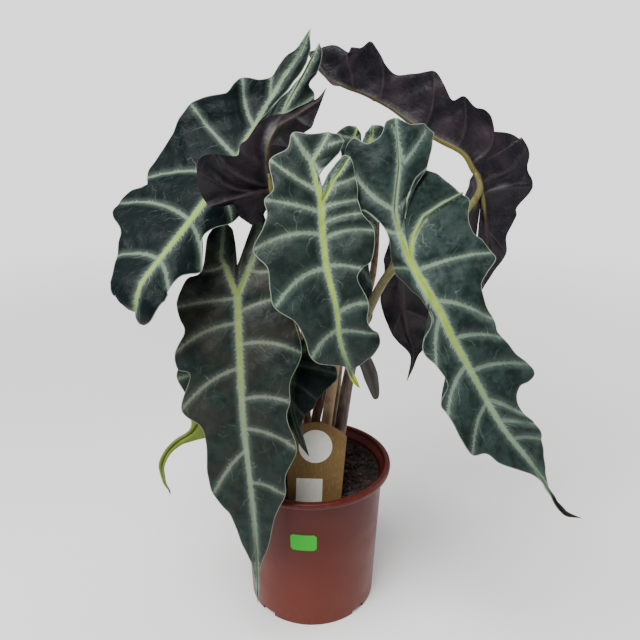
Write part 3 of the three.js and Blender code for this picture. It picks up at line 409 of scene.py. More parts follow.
class Side:
    """One half of a leaf's flat drawing: its margin, lobe vein, sinus and vein roots."""

    BOW, BOW_REACH, BACK = 0.1, 20, 2

    def __init__(self, drawing, tip):
        margin = drawing["margin"]
        self.margin = np.array([point[:2] for point in margin] + [(0, tip)], float)
        self.lobe = np.array([(0, 0), *drawing["lobe"], margin[0]], float)
        self.lobe_length = run_length(self.lobe)[-1]
        self.sinus = np.array([*drawing["sinus"], margin[0]], float)
        self.forks = [np.array(line, float) for line in drawing.get("forks", [])]
        rooted = [k for k, point in enumerate(margin) if len(point) > 2]
        self.veins = np.array([-self.lobe_length, *(margin[k][2] for k in rooted), tip], float)
        run = run_length(self.margin)
        self.roots = np.interp(run, run[[0, *rooted, len(margin)]], self.veins)

    def start(self, root):
        lobe = along_line(self.lobe, np.maximum(-root, 0))
        return np.where((root < 0)[:, None], lobe, np.stack([0 * root, root], -1))

    def end(self, root):
        return spline(self.margin, np.interp(root, self.roots, np.arange(len(self.roots))))

    def rib(self, root, s):
        """Flat points of the ribs at the roots, each at the fractions s of its way to the margin."""
        root = np.asarray(root, float)
        start, end = self.start(root), self.end(root)
        inner = np.where((root < 0)[:, None], along_line(self.lobe, np.maximum(-root - self.BACK, 0)),
                         np.stack([0 * root, root - self.BACK], -1))
        back = inner - start
        size = np.linalg.norm(back, axis=1)
        back /= np.where(size > 0, size, 1)[:, None]
        bow = self.BOW * np.linalg.norm(end - start, axis=1) * np.minimum(np.abs(root) / self.BOW_REACH, 1)
        middle = (start + end) / 2 + 2 * bow[:, None] * back
        s = np.asarray(s)[None, :, None]
        return (1 - s)**2 * start[:, None] + 2 * s * (1 - s) * middle[:, None] + s * s * end[:, None]

    def between(self, root):
        """0 on a vein, 1 on the next, for the panel that a root lies in."""
        k = np.clip(np.searchsorted(self.veins, root, side="right") - 1, 0, len(self.veins) - 2)
        return np.clip((root - self.veins[k]) / (self.veins[k + 1] - self.veins[k]), 0, 1)


def even_roots(first, last, sides, step, wanted):
    """Rib roots about a step apart at the midrib and margins, the nearest moved onto the wanted ones."""
    fine = np.linspace(first, last, 1500)
    pace = np.diff(fine)
    for side in sides:
        pace = np.maximum(pace, np.linalg.norm(np.diff(side.end(fine), axis=0), axis=1))
    run = np.concatenate([[0], np.cumsum(pace)])
    roots = np.interp(np.linspace(0, run[-1], max(int(run[-1] / step), 6) + 1), run, fine)
    for value in wanted:
        k = int(np.argmin(np.abs(roots - value)))
        if 0 < k < len(roots) - 1:
            roots[k] = value
    return np.unique(roots)


# The blade

PRIMARY_WIDTH, LATERAL_WIDTH, FORK_WIDTH = 2.8, 1.1, 0.75
LOBE_VEIN_SHARE, PRIMARY_TAPER, LATERAL_TAPER = 0.85, 0.68, 0.6
EDGE_WAVE, LOBE_LIFT_REACH = 2, 40


class BladeSheet:
    """Collects the flat points and faces of one blade and measures them against its veins."""

    def __init__(self, leaf):
        self.leaf = leaf
        self.midrib = Midrib(leaf)
        self.tip = self.midrib.v[-1]
        self.sides = [Side(leaf[side], self.tip) for side in ("left", "right")]
        self.blocks, self.faces, self.count = [], [], 0
        self.build()
        self.flat, self.lift, self.across, self.reach, self.panel = map(np.concatenate, zip(*self.blocks))
        self.measure()

    def add(self, flat, *values):
        """Adds flat points with their lift, share of the way across, reach and place in the panel."""
        size = len(flat)
        self.blocks.append([np.asarray(flat, float), *(np.broadcast_to(value, size) for value in values)])
        self.count += size
        return np.arange(self.count - size, self.count)

    def grid(self, rows, flip):
        for upper, lower in zip(rows[:-1], rows[1:]):
            for j in range(len(upper) - 1):
                face = [upper[j], upper[j + 1], lower[j + 1], lower[j]]
                face = [index for k, index in enumerate(face) if index != face[k - 1]]
                if len(face) > 2:
                    self.faces.append(face[::-1] if flip else face)

    def build(self):
        step, tip = self.leaf["step"], self.tip
        every = np.linspace(-0.9, 0.99, 60)
        longest = max(np.linalg.norm(np.diff(side.rib(every * size, [0, 1]), axis=1), axis=-1).max()
                      for side in self.sides for size in (side.lobe_length, tip))
        across = np.linspace(0, 1, int(longest / step) + 2)
        wanted = [root for side in self.sides for root in side.veins if 0 < root < tip]
        midrib_roots = even_roots(0, tip, self.sides, step, wanted)
        midrib = self.add(np.stack([0 * midrib_roots, midrib_roots], -1), 0, 0, 0, 0)
        line = np.linspace((0, 0), self.sides[0].sinus[0], len(across))
        notch = np.concatenate([midrib[:1], self.add(line[1:], 0, across[1:], run_length(line)[1:], 0.5)])
        for index, side in enumerate(self.sides):
            wanted = [root for root in side.veins if root < 0]
            lobe_roots = even_roots(-side.lobe_length, 0, [side], step, wanted)[::-1]
            lobe = np.concatenate([midrib[:1], self.add(side.start(lobe_roots[1:]), 0, 0, 0, 0)])
            roots = np.concatenate([midrib_roots[:0:-1], lobe_roots])
            path = np.concatenate([midrib[:0:-1], lobe])
            outer, inner = [np.full(len(across), path[0])], [notch]
            for root, first in zip(roots[1:-1], path[1:-1]):
                line = side.rib([root], across)[0]
                outer.append(self.rib_row(side, index, line, across, root, first, EDGE_WAVE))
            for root, first in zip(lobe_roots[1:-1], lobe[1:-1]):
                edge = along_line(side.sinus, run_length(side.sinus)[-1] * -root / side.lobe_length)
                line = np.linspace(side.start(np.array([root]))[0], edge, len(across))
                inner.append(self.rib_row(side, index, line, across, root, first, 0))
            for rows in (outer, inner):
                rows.append(np.full(len(across), path[-1]))
            self.grid(outer, index == 0)
            self.grid(inner, index == 1)

    def rib_row(self, side, index, line, across, root, first, wave):
        panel = np.sin(np.pi * side.between(root))
        lobe_lift = self.leaf.get("lift", (0, 0))[index] * smooth(-root / LOBE_LIFT_REACH)
        lift = wave * across**2 * panel + lobe_lift
        row = self.add(line[1:], lift[1:], across[1:], run_length(line)[1:], panel)
        return np.concatenate([[first], row])

    def measure(self):
        """Distance beyond the nearest vein's edge, how near its core, and distance to the margin."""
        primary = [(np.array([(0, 0), (0, self.tip)], float), PRIMARY_WIDTH)]
        minor, margins = [], []
        for side in self.sides:
            primary.append((side.lobe, PRIMARY_WIDTH * LOBE_VEIN_SHARE))
            minor += [(rib, LATERAL_WIDTH) for rib in side.rib(side.veins[1:-1], np.linspace(0, 0.97, 20))]
            minor += [(line, FORK_WIDTH) for line in side.forks]
            margins += [spline(side.margin, np.linspace(0, len(side.margin) - 1, 160)), side.sinus]
        self.away, self.core = self.nearest(primary, PRIMARY_TAPER)
        self.side_away, self.side_core = self.nearest(minor, LATERAL_TAPER)
        self.edge = np.min([distance_to_line(self.flat, line) for line in margins], axis=0)

    def nearest(self, veins, taper):
        away, core = np.full(self.count, 1e3), np.full(self.count, 1e3)
        for line, width in veins:
            gone = np.clip(np.linalg.norm(self.flat - line[0], axis=1) / run_length(line)[-1], 0, 1)
            width = width * (1 - taper * gone)
            distance = distance_to_line(self.flat, line)
            away, core = np.minimum(away, distance - width), np.minimum(core, distance / width)
        return away, core


def ruffle(flat, seed):
    """Slow uneven swell of a blade, between -1 and 1."""
    shift = np.random.default_rng(seed).uniform(0, 6.3, 4)
    u, v = flat.T
    return (np.sin(0.17 * u + 0.09 * v + shift[0]) + np.sin(0.13 * v - 0.11 * u + shift[1])
            + np.sin(0.31 * v + 0.23 * u + shift[2]) + 0.5 * np.sin(0.4 * u - 0.37 * v + shift[3])) / 3.5


def blade_mesh(leaf, seed, props):
    """Vertices, faces and vertex values of one blade, in millimetres, and its sheet."""
    sheet = BladeSheet(leaf)
    flat, across = sheet.flat, sheet.across
    place, normal = bend(leaf, sheet.midrib, flat)
    quilt = 4 * across * (1 - across) * sheet.panel
    lift = sheet.lift + props.quilting / MM * quilt + props.ruffle / MM * across * ruffle(flat, seed)
    half = props.blade_thickness / MM / 2 * np.clip(sheet.edge / 2, 0.35, 1)
    taper = 1 - 0.8 * smooth(np.abs(flat[:, 1]) / sheet.tip)
    hill = np.exp(-np.maximum(sheet.core, 0)**2 / 1.6) * taper
    side_hill = np.exp(-np.maximum(sheet.side_core, 0)**2 / 1.8) * (1 - 0.5 * across)
    over = props.vein_rise / MM * np.maximum(hill, 0.4 * side_hill)
    under = props.rib_drop / MM * np.maximum(hill, 0.35 * side_hill)
    sides = [place + normal * rise[:, None] for rise in (lift + half + over, lift - half - under)]
    tone_length = leaf["tip"][1]
    values = {
        "mid_away": sheet.away, "midrib_core": np.minimum(sheet.core, 9), "side_away": sheet.side_away,
        "vein_core": np.minimum(sheet.side_core, 9), "margin": sheet.edge, "reach": sheet.reach,
        "tip_zone": smooth((flat[:, 1] - sheet.tip + tone_length) / 12),
        "warm": np.exp(-(np.linalg.norm(flat, axis=1) / leaf["warm_reach"])**2),
        "climb": np.ones(len(flat)), "flat_u": flat[:, 0], "flat_v": flat[:, 1],
    }
    values = {name: np.tile(value, 2) for name, value in values.items()}
    return np.vstack(sides), closed_sheet(sheet.faces, len(flat)), values, sheet


# The petiole

RINGS, AROUND = 90, 20


def stem_curve(points, count):
    """Centripetal curve through the points, evenly sampled."""
    points = padded(points)
    knots = np.concatenate([[0], np.cumsum(np.linalg.norm(np.diff(points, axis=0), axis=1)**0.5)])
    fine = []
    for k in range(1, len(points) - 2):
        p, t = points[k - 1:k + 3], knots[k - 1:k + 3]
        x = np.linspace(t[1], t[2], 24, endpoint=k == len(points) - 3)[:, None]
        a = [p[i] + (p[i + 1] - p[i]) * (x - t[i]) / (t[i + 1] - t[i]) for i in range(3)]
        b = [a[i] + (a[i + 1] - a[i]) * (x - t[i]) / (t[i + 2] - t[i]) for i in range(2)]
        fine.append(b[0] + (b[1] - b[0]) * (x - t[1]) / (t[2] - t[1]))
    fine = np.vstack(fine)
    return along_line(fine, np.linspace(0, run_length(fine)[-1], count))


def petiole_mesh(leaf, midrib, seed):
    """A round stem from the soil to the joint, running on under the midrib."""
    (joint, onward), _, (up, _), _ = midrib.at(np.array([0.0, 14.0]))
    foot, end = leaf["petiole_radius"]
    top = [joint - up * (end + 0.6), onward - up * (end * 0.5 + 0.8)]
    centre = stem_curve([*leaf["petiole"][:-1], *top], RINGS)
    along = unit(np.gradient(centre, axis=0))
    side = unit(np.cross(along[0], (0, 1, 0)))
    shift = np.random.default_rng(seed).uniform(0, 6.3, 3)
    angles = np.linspace(0, 2 * np.pi, AROUND, endpoint=False)
    vertices = []
    for k, gone in enumerate(np.linspace(0, 1, RINGS)):
        side = unit(side - along[k] * (side @ along[k]))
        radius = (foot + (end - foot) * smooth(gone)) * (1 - 0.7 * smooth((gone - 0.95) / 0.05))
        wobble = 0.03 * np.sin(2 * angles + shift[0] + 5 * gone) + 0.02 * np.sin(3 * angles + shift[1])
        ring = radius * (1 + wobble)
        vertices.append(centre[k] + np.outer(np.cos(angles) * ring, side)
                        + np.outer(np.sin(angles) * ring, np.cross(along[k], side)))
    last = (RINGS - 1) * AROUND
    faces = [*tube_faces(RINGS, AROUND), range(AROUND)[::-1], range(last, last + AROUND)]
    return np.vstack(vertices), faces, np.repeat(np.linspace(0, 1, RINGS), AROUND)


# The pot, soil, label and sticker

POT = {
    "base_radius": 56.6, "wall_top_radius": 62.8, "rim_radius": 70, "mouth_radius": 64.7, "height": 136,
    "rim_height": 6.5, "wall": 2, "floor_top": 6, "recess": 3, "pad_radius": 22, "foot_inner": 50,
    "notches": 4, "notch_width": 14, "notch_height": 4, "notch_depth": 12, "notch_start": 47,
    "drains": 8, "drain_radius": 5, "drain_ring": 37,
}
SOIL_TOP, BANK, BANK_START, BANK_WIDTH = 123, 1.6, 50, 11
LABEL = {
    "width": 50, "arch_rise": 11, "height": 85, "foot_width": 30, "thickness": 0.8,
    "place": (2, -55.7, 108), "lean": -16, "turn": 2,
}
DISC = {"radius": 13.8, "across": -0.6, "up": 64.8}
SQUARE = {"size": 21.6, "across": -4.6, "up": 26.9, "corner": 0.5}
STICKER = {"width": 22, "height": 16, "thickness": 0.25, "z": 92, "angle": -6, "cut": 2}
GAP = 0.3


def wall_radius(z):
    rise = z / (POT["height"] - POT["rim_height"])
    return POT["base_radius"] + (POT["wall_top_radius"] - POT["base_radius"]) * rise


def inner_radius(z):
    return wall_radius(z) - POT["wall"]


def round_profile(points, radii):
    """Puts a small arc in place of each corner of a profile that has a radius."""
    out = [points[0]]
    for before, corner, after, radius in zip(points, points[1:], points[2:], radii[1:]):
        if not radius:
            out.append(corner)
            continue
        a, b = (np.subtract(point, corner) for point in (before, after))
        a, b = (leg * min(radius / np.linalg.norm(leg), 0.5) for leg in (a, b))
        t = np.linspace(0, 1, 5)[:, None]
        out += [tuple(p) for p in corner + (1 - t)**2 * a + t**2 * b]
    return out + [points[-1]]


def turned_solid(profile, segments):
    """Vertices and faces of a profile turned round Z; its first and last points lie on the axis."""
    angles = np.linspace(0, 2 * np.pi, segments, endpoint=False)
    vertices = [(0, 0, profile[0][1])]
    for r, z in profile[1:-1]:
        vertices += [(r * math.sin(a), -r * math.cos(a), z) for a in angles]
    last = len(vertices)
    vertices.append((0, 0, profile[-1][1]))
    faces = tube_faces(len(profile) - 2, segments, 1)
    for k in range(segments):
        n = (k + 1) % segments
        faces += [(0, 1 + n, 1 + k), (last - segments + k, last - segments + n, last)]
    return np.array(vertices, float), faces


def pot_profile():
    height, base, mouth, floor = POT["height"], POT["base_radius"], POT["mouth_radius"], POT["floor_top"]
    pad, recess, foot, lip = POT["pad_radius"], POT["recess"], POT["foot_inner"], height - POT["rim_height"]
    points = [
        (0, 0), (pad, 0), (pad + 1, recess), (foot - 1, recess), (foot, 0), (base, 0), (wall_radius(4), 4),
        (wall_radius(lip - 4), lip - 4), (wall_radius(lip), lip), (POT["rim_radius"] - 0.6, lip + 0.2),
        (POT["rim_radius"], height - 1), (mouth + 0.3, height), (mouth - 0.2, lip + 3),
        (inner_radius(lip), lip - 2), (inner_radius(60), 60), (inner_radius(floor), floor), (0, floor),
    ]
    return round_profile(points, [0, 0.4, 0.6, 0.6, 0.4, 0.8, 0, 0, 1.2, 1.6, 2.2, 1.6, 2, 1.5, 0, 1.5, 0])


def pot_cutters():
    """Boxes for the foot's notches and drills for the drain holes."""
    cube = np.array([(x, y, z) for x in (-0.5, 0.5) for y in (-0.5, 0.5) for z in (-0.5, 0.5)])
    sides = [(0, 1, 3, 2), (4, 6, 7, 5), (0, 4, 5, 1), (2, 3, 7, 6), (0, 2, 6, 4), (1, 5, 7, 3)]
    box = cube * (POT["notch_depth"], POT["notch_width"], 2 * POT["notch_height"])
    box += (POT["base_radius"], 0, 0)
    radius, ring = POT["drain_radius"], POT["drain_ring"]
    drill, faces = turned_solid([(0, -5), (radius, -5), (radius, 20), (0, 20)], 24)
    notches = [(turned(box, math.radians(POT["notch_start"] + 360 / POT["notches"] * k)), sides)
               for k in range(POT["notches"])]
    turns = [2 * math.pi * k / POT["drains"] for k in range(POT["drains"])]
    return stacked(notches + [(drill + (ring * math.cos(a), ring * math.sin(a), 0), faces) for a in turns])


def soil_rise(x, y, seed):
    """How far the lumpy soil stands above its level, banked up at the wall."""
    shift = np.random.default_rng(seed).uniform(0, 6.3, 6)
    slow = np.sin(x * 0.11 + shift[0]) * np.cos(y * 0.13 + shift[1])
    fast = np.sin(x * 0.41 + y * 0.23 + shift[2]) + np.sin(y * 0.53 - x * 0.31 + shift[3])
    fine = np.sin(x * 1.13 - y * 0.87 + shift[4]) * np.sin(y * 1.31 + x * 0.5 + shift[5])
    return 1.3 * slow + 0.5 * fast + 0.45 * fine + BANK * smooth((np.hypot(x, y) - BANK_START) / BANK_WIDTH)


def soil_mesh(seed):
    """The soil: a lumpy top and a plain body below it."""
    segments, rings = 120, 50
    top = inner_radius(SOIL_TOP) - GAP
    body = [(inner_radius(z) - GAP, z) for z in (10, 60, SOIL_TOP - 3)]
    cover = [(top * k / rings, SOIL_TOP) for k in range(rings, 0, -1)]
    vertices, faces = turned_solid([(0, 10), *body, *cover, (0, SOIL_TOP)], segments)
    x, y, z = vertices.T
    vertices[:, 2] += np.where(z > SOIL_TOP - 0.5, soil_rise(x, y, seed), 0)
    return vertices, faces


def crumbs_mesh(count, sizes, seed, clear, relief_seed):
    """Loose crumbs that lie sunk in the soil's top, clear of the petioles."""
    rng = np.random.default_rng(seed)
    ball = bmesh.new()
    bmesh.ops.create_icosphere(ball, subdivisions=1, radius=1)
    shape = np.array([vertex.co[:] for vertex in ball.verts])
    faces = [tuple(vertex.index for vertex in face.verts) for face in ball.faces]
    ball.free()
    parts = []
    while len(parts) < count:
        r = (inner_radius(SOIL_TOP) - 3) * math.sqrt(rng.uniform())
        turn = rng.uniform(0, 2 * math.pi)
        x, y = r * math.cos(turn), r * math.sin(turn)
        size = sizes[0] + (sizes[1] - sizes[0]) * rng.uniform()**2.2
        if any(math.hypot(x - a, y - b) < c + size for a, b, c in clear):
            continue
        lump = shape * rng.uniform(0.62, 1.2, shape.shape) * rng.uniform(0.7, 1.25, 3) * size
        place = (x, y, SOIL_TOP + soil_rise(x, y, relief_seed) + size * 0.25)
        parts.append((turned(lump, rng.uniform(0, 2 * math.pi)) + place, faces))
    return stacked(parts)


def card_outline():
    """The label's outline: a tapering stake with an arched top, from its foot upwards."""
    half, foot, height = LABEL["width"] / 2, LABEL["foot_width"] / 2, LABEL["height"]
    t = np.linspace(0, 1, 14)[:, None]
    shoulder, bend_point = (half, height - LABEL["arch_rise"]), np.array((half * 0.5, height))
    arch = (1 - t)**2 * shoulder + 2 * t * (1 - t) * bend_point + t * t * (0, height)
    right = [(foot, 0), (half - 3, height * 0.25), *map(tuple, arch)]
    return right + [(-x, y) for x, y in right[-2::-1]]


def card_place(points):
    """Turns points of the label's own plane (across, up, towards the viewer) into the row frame."""
    lean, turn = math.radians(LABEL["lean"]), math.radians(LABEL["turn"])
    x, y, depth = np.asarray(points, float).T
    forward = -y * math.sin(lean) - depth * math.cos(lean)
    up = y * math.cos(lean) - depth * math.sin(lean)
    across = x * math.cos(turn) + up * math.sin(turn)
    return np.stack([across, forward, up * math.cos(turn) - x * math.sin(turn)], -1) + LABEL["place"]


def plate(outline, near, far):
    """A flat plate between two depths of the label's plane."""
    points = [(x, y, depth) for depth in (near, far) for x, y in outline]
    return card_place(points), closed_sheet([range(len(outline))], len(outline))


def disc_outline():
    return [(DISC["across"] + DISC["radius"] * math.cos(a), DISC["up"] + DISC["radius"] * math.sin(a))
            for a in np.linspace(0, 2 * np.pi, 72, endpoint=False)]


def square_outline():
    corner, reach, points = SQUARE["corner"], SQUARE["size"] / 2 - SQUARE["corner"], []
    for k, (sx, sy) in enumerate(((1, 1), (-1, 1), (-1, -1), (1, -1))):
        for turn in np.linspace(0, math.pi / 2, 4) + k * math.pi / 2:
            points.append((SQUARE["across"] + sx * reach + corner * math.cos(turn),
                           SQUARE["up"] + sy * reach + corner * math.sin(turn)))
    return points


def sticker_mesh():
    """The price sticker: a thin plate with cut corners, bent round the wall."""
    half, cut = STICKER["width"] / 2, STICKER["cut"]
    columns, rows = [-half, *np.linspace(cut - half, half - cut, 15), half], np.linspace(-0.5, 0.5, 7)
    vertices, across = [], len(columns)
    for depth in (GAP + STICKER["thickness"], GAP * 0.2):
        for row in rows:
            for x in columns:
                z = STICKER["z"] + row * (STICKER["height"] - 2 * cut * (abs(x) > half - 0.01))
                turn = x / wall_radius(STICKER["z"]) + math.radians(STICKER["angle"])
                r = wall_radius(z) + depth
                vertices.append((r * math.sin(turn), -r * math.cos(turn), z))
    starts = [j * across + i for j in range(len(rows) - 1) for i in range(across - 1)]
    faces = [(a, a + 1, a + across + 1, a + across) for a in starts]
    return np.array(vertices), closed_sheet(faces, across * len(rows))


# Materials


class Finish:
    """A procedural material: adds nodes, joins them, and sets the shader's own sockets."""

    def __init__(self, name, roughness, specular):
        self.material = bpy.data.materials.new(name)
        self.material.use_nodes = True
        self.tree = self.material.node_tree
        self.shader = self.tree.nodes["Principled BSDF"]
        self.shader.inputs["Roughness"].default_value = roughness
        self.shader.inputs["Specular IOR Level"].default_value = specular

    def node(self, kind, inputs, **settings):
        node = self.tree.nodes.new(kind)
        for name, value in settings.items():
            setattr(node, name, value)
        for key, value in inputs.items():
            if isinstance(value, bpy.types.NodeSocket):
                self.tree.links.new(value, node.inputs[key])
            else:
                node.inputs[key].default_value = value
        return node

    def value(self, name):
        return self.node("ShaderNodeAttribute", {}, attribute_name=name).outputs["Fac"]

    def place(self):
        return self.node("ShaderNodeTexCoord", {}).outputs["Object"]

    def vector(self, x, y, z):
        return self.node("ShaderNodeCombineXYZ", {"X": x, "Y": y, "Z": z}).outputs[0]

    def stretched(self, vector, share):
        return self.node("ShaderNodeMapping", {"Vector": vector, "Scale": (1.0, 1.0, share)}).outputs[0]

    def math(self, operation, a, b=0.0):
        return self.node("ShaderNodeMath", {0: a, 1: b}, operation=operation).outputs[0]

    def plus(self, a, b):
        return self.math("ADD", a, b)

    def minus(self, a, b):
        return self.math("SUBTRACT", a, b)

    def times(self, a, b):
        return self.math("MULTIPLY", a, b)

    def ease(self, value, low, high, start=0.0, end=1.0):
        """Runs smoothly from start to end while the value goes from low to high."""
        inputs = {"Value": value, "From Min": low, "From Max": high, "To Min": start, "To Max": end}
        return self.node("ShaderNodeMapRange", inputs, interpolation_type="SMOOTHSTEP").outputs[0]

    def noise(self, vector, scale, detail, roughness):
        inputs = {"Vector": vector, "Scale": scale, "Detail": detail, "Roughness": roughness}
        return self.node("ShaderNodeTexNoise", inputs).outputs["Fac"]

    def cells(self, vector, scale):
        inputs = {"Vector": vector, "Scale": scale}
        return self.node("ShaderNodeTexVoronoi", inputs, feature="DISTANCE_TO_EDGE").outputs["Distance"]

    def mix(self, factor, a, b):
        colors = {6: color4(a), 7: color4(b), 0: factor}
        return self.node("ShaderNodeMix", colors, data_type="RGBA").outputs[2]

    def bump(self, height, strength, distance):
        inputs = {"Height": height, "Strength": strength, "Distance": distance}
        self.plug("Normal", self.node("ShaderNodeBump", inputs).outputs[0])

    def plug(self, socket, value):
        self.tree.links.new(value, self.shader.inputs[socket])

    def paint(self, color):
        self.plug("Base Color", color)
        return self.material


def color4(color):
    return color if isinstance(color, bpy.types.NodeSocket) else (*color, 1.0)[:4]


def feathered(f, along, away, seed, width):
    """One on a vein, falling to nothing outside it through fine slanting teeth."""
    strand = f.vector(f.minus(along, away), f.times(away, 0.12), seed)
    teeth = f.ease(f.noise(strand, 0.95, 3, 0.65), 0.42, 0.72, -0.1, width)
    return f.ease(f.minus(away, teeth), -0.5, 0.55, 1.0, 0.0)


def upper_face(name, leaf, seed, props):
    """Dark green blade with feathered pale veins, hair-thin branch veins and a pale margin."""
    # Painted shade: leaves with a higher shade value also get a lower specular level, so they show dimmer
    # glints.
    f = Finish(name, 0.4, 0.16 * (1 - 0.7 * leaf["shade"]))
    mid_away, side_away = f.value("mid_away"), f.value("side_away")
    core, side_core, warm = f.value("midrib_core"), f.value("vein_core"), f.value("warm")
    reach, flat_u, flat_v = f.value("reach"), f.value("flat_u"), f.value("flat_v")
    away = f.math("MINIMUM", mid_away, side_away)
    flat = f.vector(flat_u, flat_v, float(seed))
    slow, medium = f.noise(flat, 0.035, 3, 0.6), f.noise(flat, 0.14, 4, 0.6)
    blade = f.mix(f.ease(slow, 0.35, 0.65), props.blade_dark, props.blade_green)
    # Painted sheen: grey-green blotches of painted reflection on the upper face, scaled per leaf.
    painted_sheen = f.ease(f.plus(medium, f.times(slow, 0.6)), 0.6, 1.05, 0.15, 1.0)
    blade = f.mix(f.times(painted_sheen, leaf["painted_sheen"]), blade, props.blade_painted_sheen)
    brown = f.ease(f.noise(flat, 0.03, 2, 0.5), 0.35, 0.6, 0.1, 1.0)
    brown = f.times(brown, f.ease(flat_v, 30.0, 170.0, 1.0, 0.3))
    blade = f.mix(f.times(brown, leaf["brownness"]), blade, props.blade_brown)
    # Painted shade: the leaf's shade value mixes its whole upper face towards a blue-black colour, as if
    # the leaf lay in shadow.
    blade = f.mix(leaf["shade"], blade, props.blade_painted_shade)
    halo = f.ease(away, 0.0, 5.0, 0.24 * leaf["paleness"], 0.0)
    blade = f.mix(halo, blade, props.vein_pale)
    warp = f.noise(flat, 0.07, 2, 0.6)
    phase = f.plus(f.times(reach, 0.1), f.times(side_away, -0.085))
    phase = f.plus(phase, f.times(warp, 1.9))
    line = f.math("ABSOLUTE", f.minus(f.math("FRACT", phase), 0.5))
    seen = f.ease(f.noise(flat, 0.1, 2, 0.5), 0.47, 0.64)
    thin = f.times(f.ease(line, 0.01, 0.045, 1.0, 0.0), seen)
    thin = f.times(thin, f.ease(away, 0.0, 14.0, 0.5, 0.12))
    net = f.ease(f.cells(f.vector(flat_u, flat_v, warp), 0.12), 0.005, 0.03, 0.12, 0.0)
    net = f.times(net, f.ease(f.noise(flat, 0.05, 2, 0.5), 0.5, 0.66))
    thin = f.times(f.math("MAXIMUM", thin, net), leaf["paleness"])
    blade = f.mix(thin, blade, props.vein_pale)
    side_band = f.times(feathered(f, reach, side_away, seed + 3.3, 1.8), 0.86 * leaf["paleness"])
    side_rib = f.mix(f.ease(side_core, 0.12, 0.42, 0.8, 0.0), props.vein_pale, props.vein_core)
    side_rib = f.mix(f.times(warm, 0.5), side_rib, props.vein_light)
    mid_band = f.times(feathered(f, flat_v, mid_away, seed + 7.7, 2.0), leaf["paleness"])
    green = f.mix(f.ease(warm, 0.0, 0.75), props.vein_light, props.vein_bright)
    green_core = f.times(f.ease(core, 0.5, 0.95, 1.0, 0.0), f.ease(flat_v, -42.0, -4.0, 0.3, 1.0))
    mid_rib = f.mix(green_core, props.vein_pale, green)
    dull = 0.75 * leaf["brownness"]
    blade = f.mix(side_band, blade, f.mix(dull, side_rib, props.vein_dull))
    blade = f.mix(mid_band, blade, f.mix(dull * 0.4, mid_rib, props.vein_dull))
    margin = f.ease(f.value("margin"), 0.15, 0.75, 0.65 * leaf["paleness"], 0.0)
    blade = f.mix(margin, blade, props.margin_color)
    blade = f.mix(f.value("tip_zone"), blade, tuple(getattr(props, "tip_" + leaf["tip"][0])))
    f.plug("Roughness", f.ease(medium, 0.3, 0.7, 0.36, 0.5))
    grain = f.plus(f.times(f.noise(flat, 1.7, 2, 0.6), 0.12), f.noise(flat, 0.13, 3, 0.55))
    f.bump(grain, 0.5, 0.0024)
    return f.paint(blade)


def lower_face(name, leaf, seed, props):
    """Purple-black underside with dull ribs, olive along the midrib."""
    f = Finish(name, 0.45, 0.25)
    away = f.math("MINIMUM", f.value("mid_away"), f.value("side_away"))
    core, warm = f.value("midrib_core"), f.value("warm")
    flat = f.vector(f.value("flat_u"), f.value("flat_v"), seed + 40.0)
    slow, fine = f.noise(flat, 0.04, 3, 0.6), f.noise(flat, 0.7, 2, 0.6)
    blade = f.mix(f.ease(slow, 0.38, 0.7), props.underside_dark, props.underside_wine)
    net = f.ease(f.cells(flat, 0.13), 0.01, 0.05, 0.12, 0.0)
    blade = f.mix(net, blade, props.underside_rib)
    beyond = f.minus(away, f.ease(fine, 0.4, 0.7, 0.0, 0.8))
    blade = f.mix(f.ease(beyond, -0.9, 0.3, 0.3, 0.0), blade, props.underside_rib)
    olive = f.times(f.ease(core, 0.4, 1.0, 1.0, 0.0), f.ease(warm, 0.0, 0.45, 0.3, 1.0))
    olive = f.times(olive, f.ease(f.math("ABSOLUTE", f.value("flat_u")), 3.0, 6.0, 1.0, 0.0))
    blade = f.mix(f.times(olive, leaf["olive"]), blade, props.underside_olive)
    blade = f.mix(f.value("tip_zone"), blade, tuple(getattr(props, "tip_" + leaf["tip"][0])))
    f.plug("Roughness", f.ease(slow, 0.3, 0.7, 0.36, 0.52))
    grain = f.plus(f.times(f.noise(flat, 1.5, 3, 0.65), 0.3), f.noise(flat, 0.2, 3, 0.6))
    f.bump(grain, 0.5, 0.0012)
    return f.paint(blade)


def rim_face(name, color, props):
    """The blade's thin edge."""
    f = Finish(name, 0.45, 0.4)
    tint = f.noise(f.place(), 140.0, 2, 0.5)
    return f.paint(f.mix(f.ease(tint, 0.35, 0.65, 0.0, 0.5), color, props.vein_core))


def petiole_skin(name, leaf, props):
    """Streaked and mottled stem, changing colour from its foot to the blade."""
    f = Finish(name, 0.42, 0.3)
    foot, end = (tuple(getattr(props, "petiole_" + tone)) for tone in leaf["petiole_tones"])
    climb, place = f.value("climb"), f.place()
    streak = f.noise(f.stretched(place, 0.12), 420.0, 3, 0.6)
    blotch = f.noise(place, 130.0, 3, 0.7)
    skin = f.mix(f.ease(f.plus(climb, f.ease(blotch, 0.3, 0.7, -0.15, 0.15)), 0.35, 0.95), foot, end)
    skin = f.mix(f.ease(streak, 0.4, 0.66, 0.0, 0.4), skin, props.petiole_light)
    skin = f.mix(f.ease(blotch, 0.5, 0.7, 0.0, 0.55), skin, props.petiole_plum)
    f.bump(streak, 0.2, 0.0003)
    return f.paint(skin)


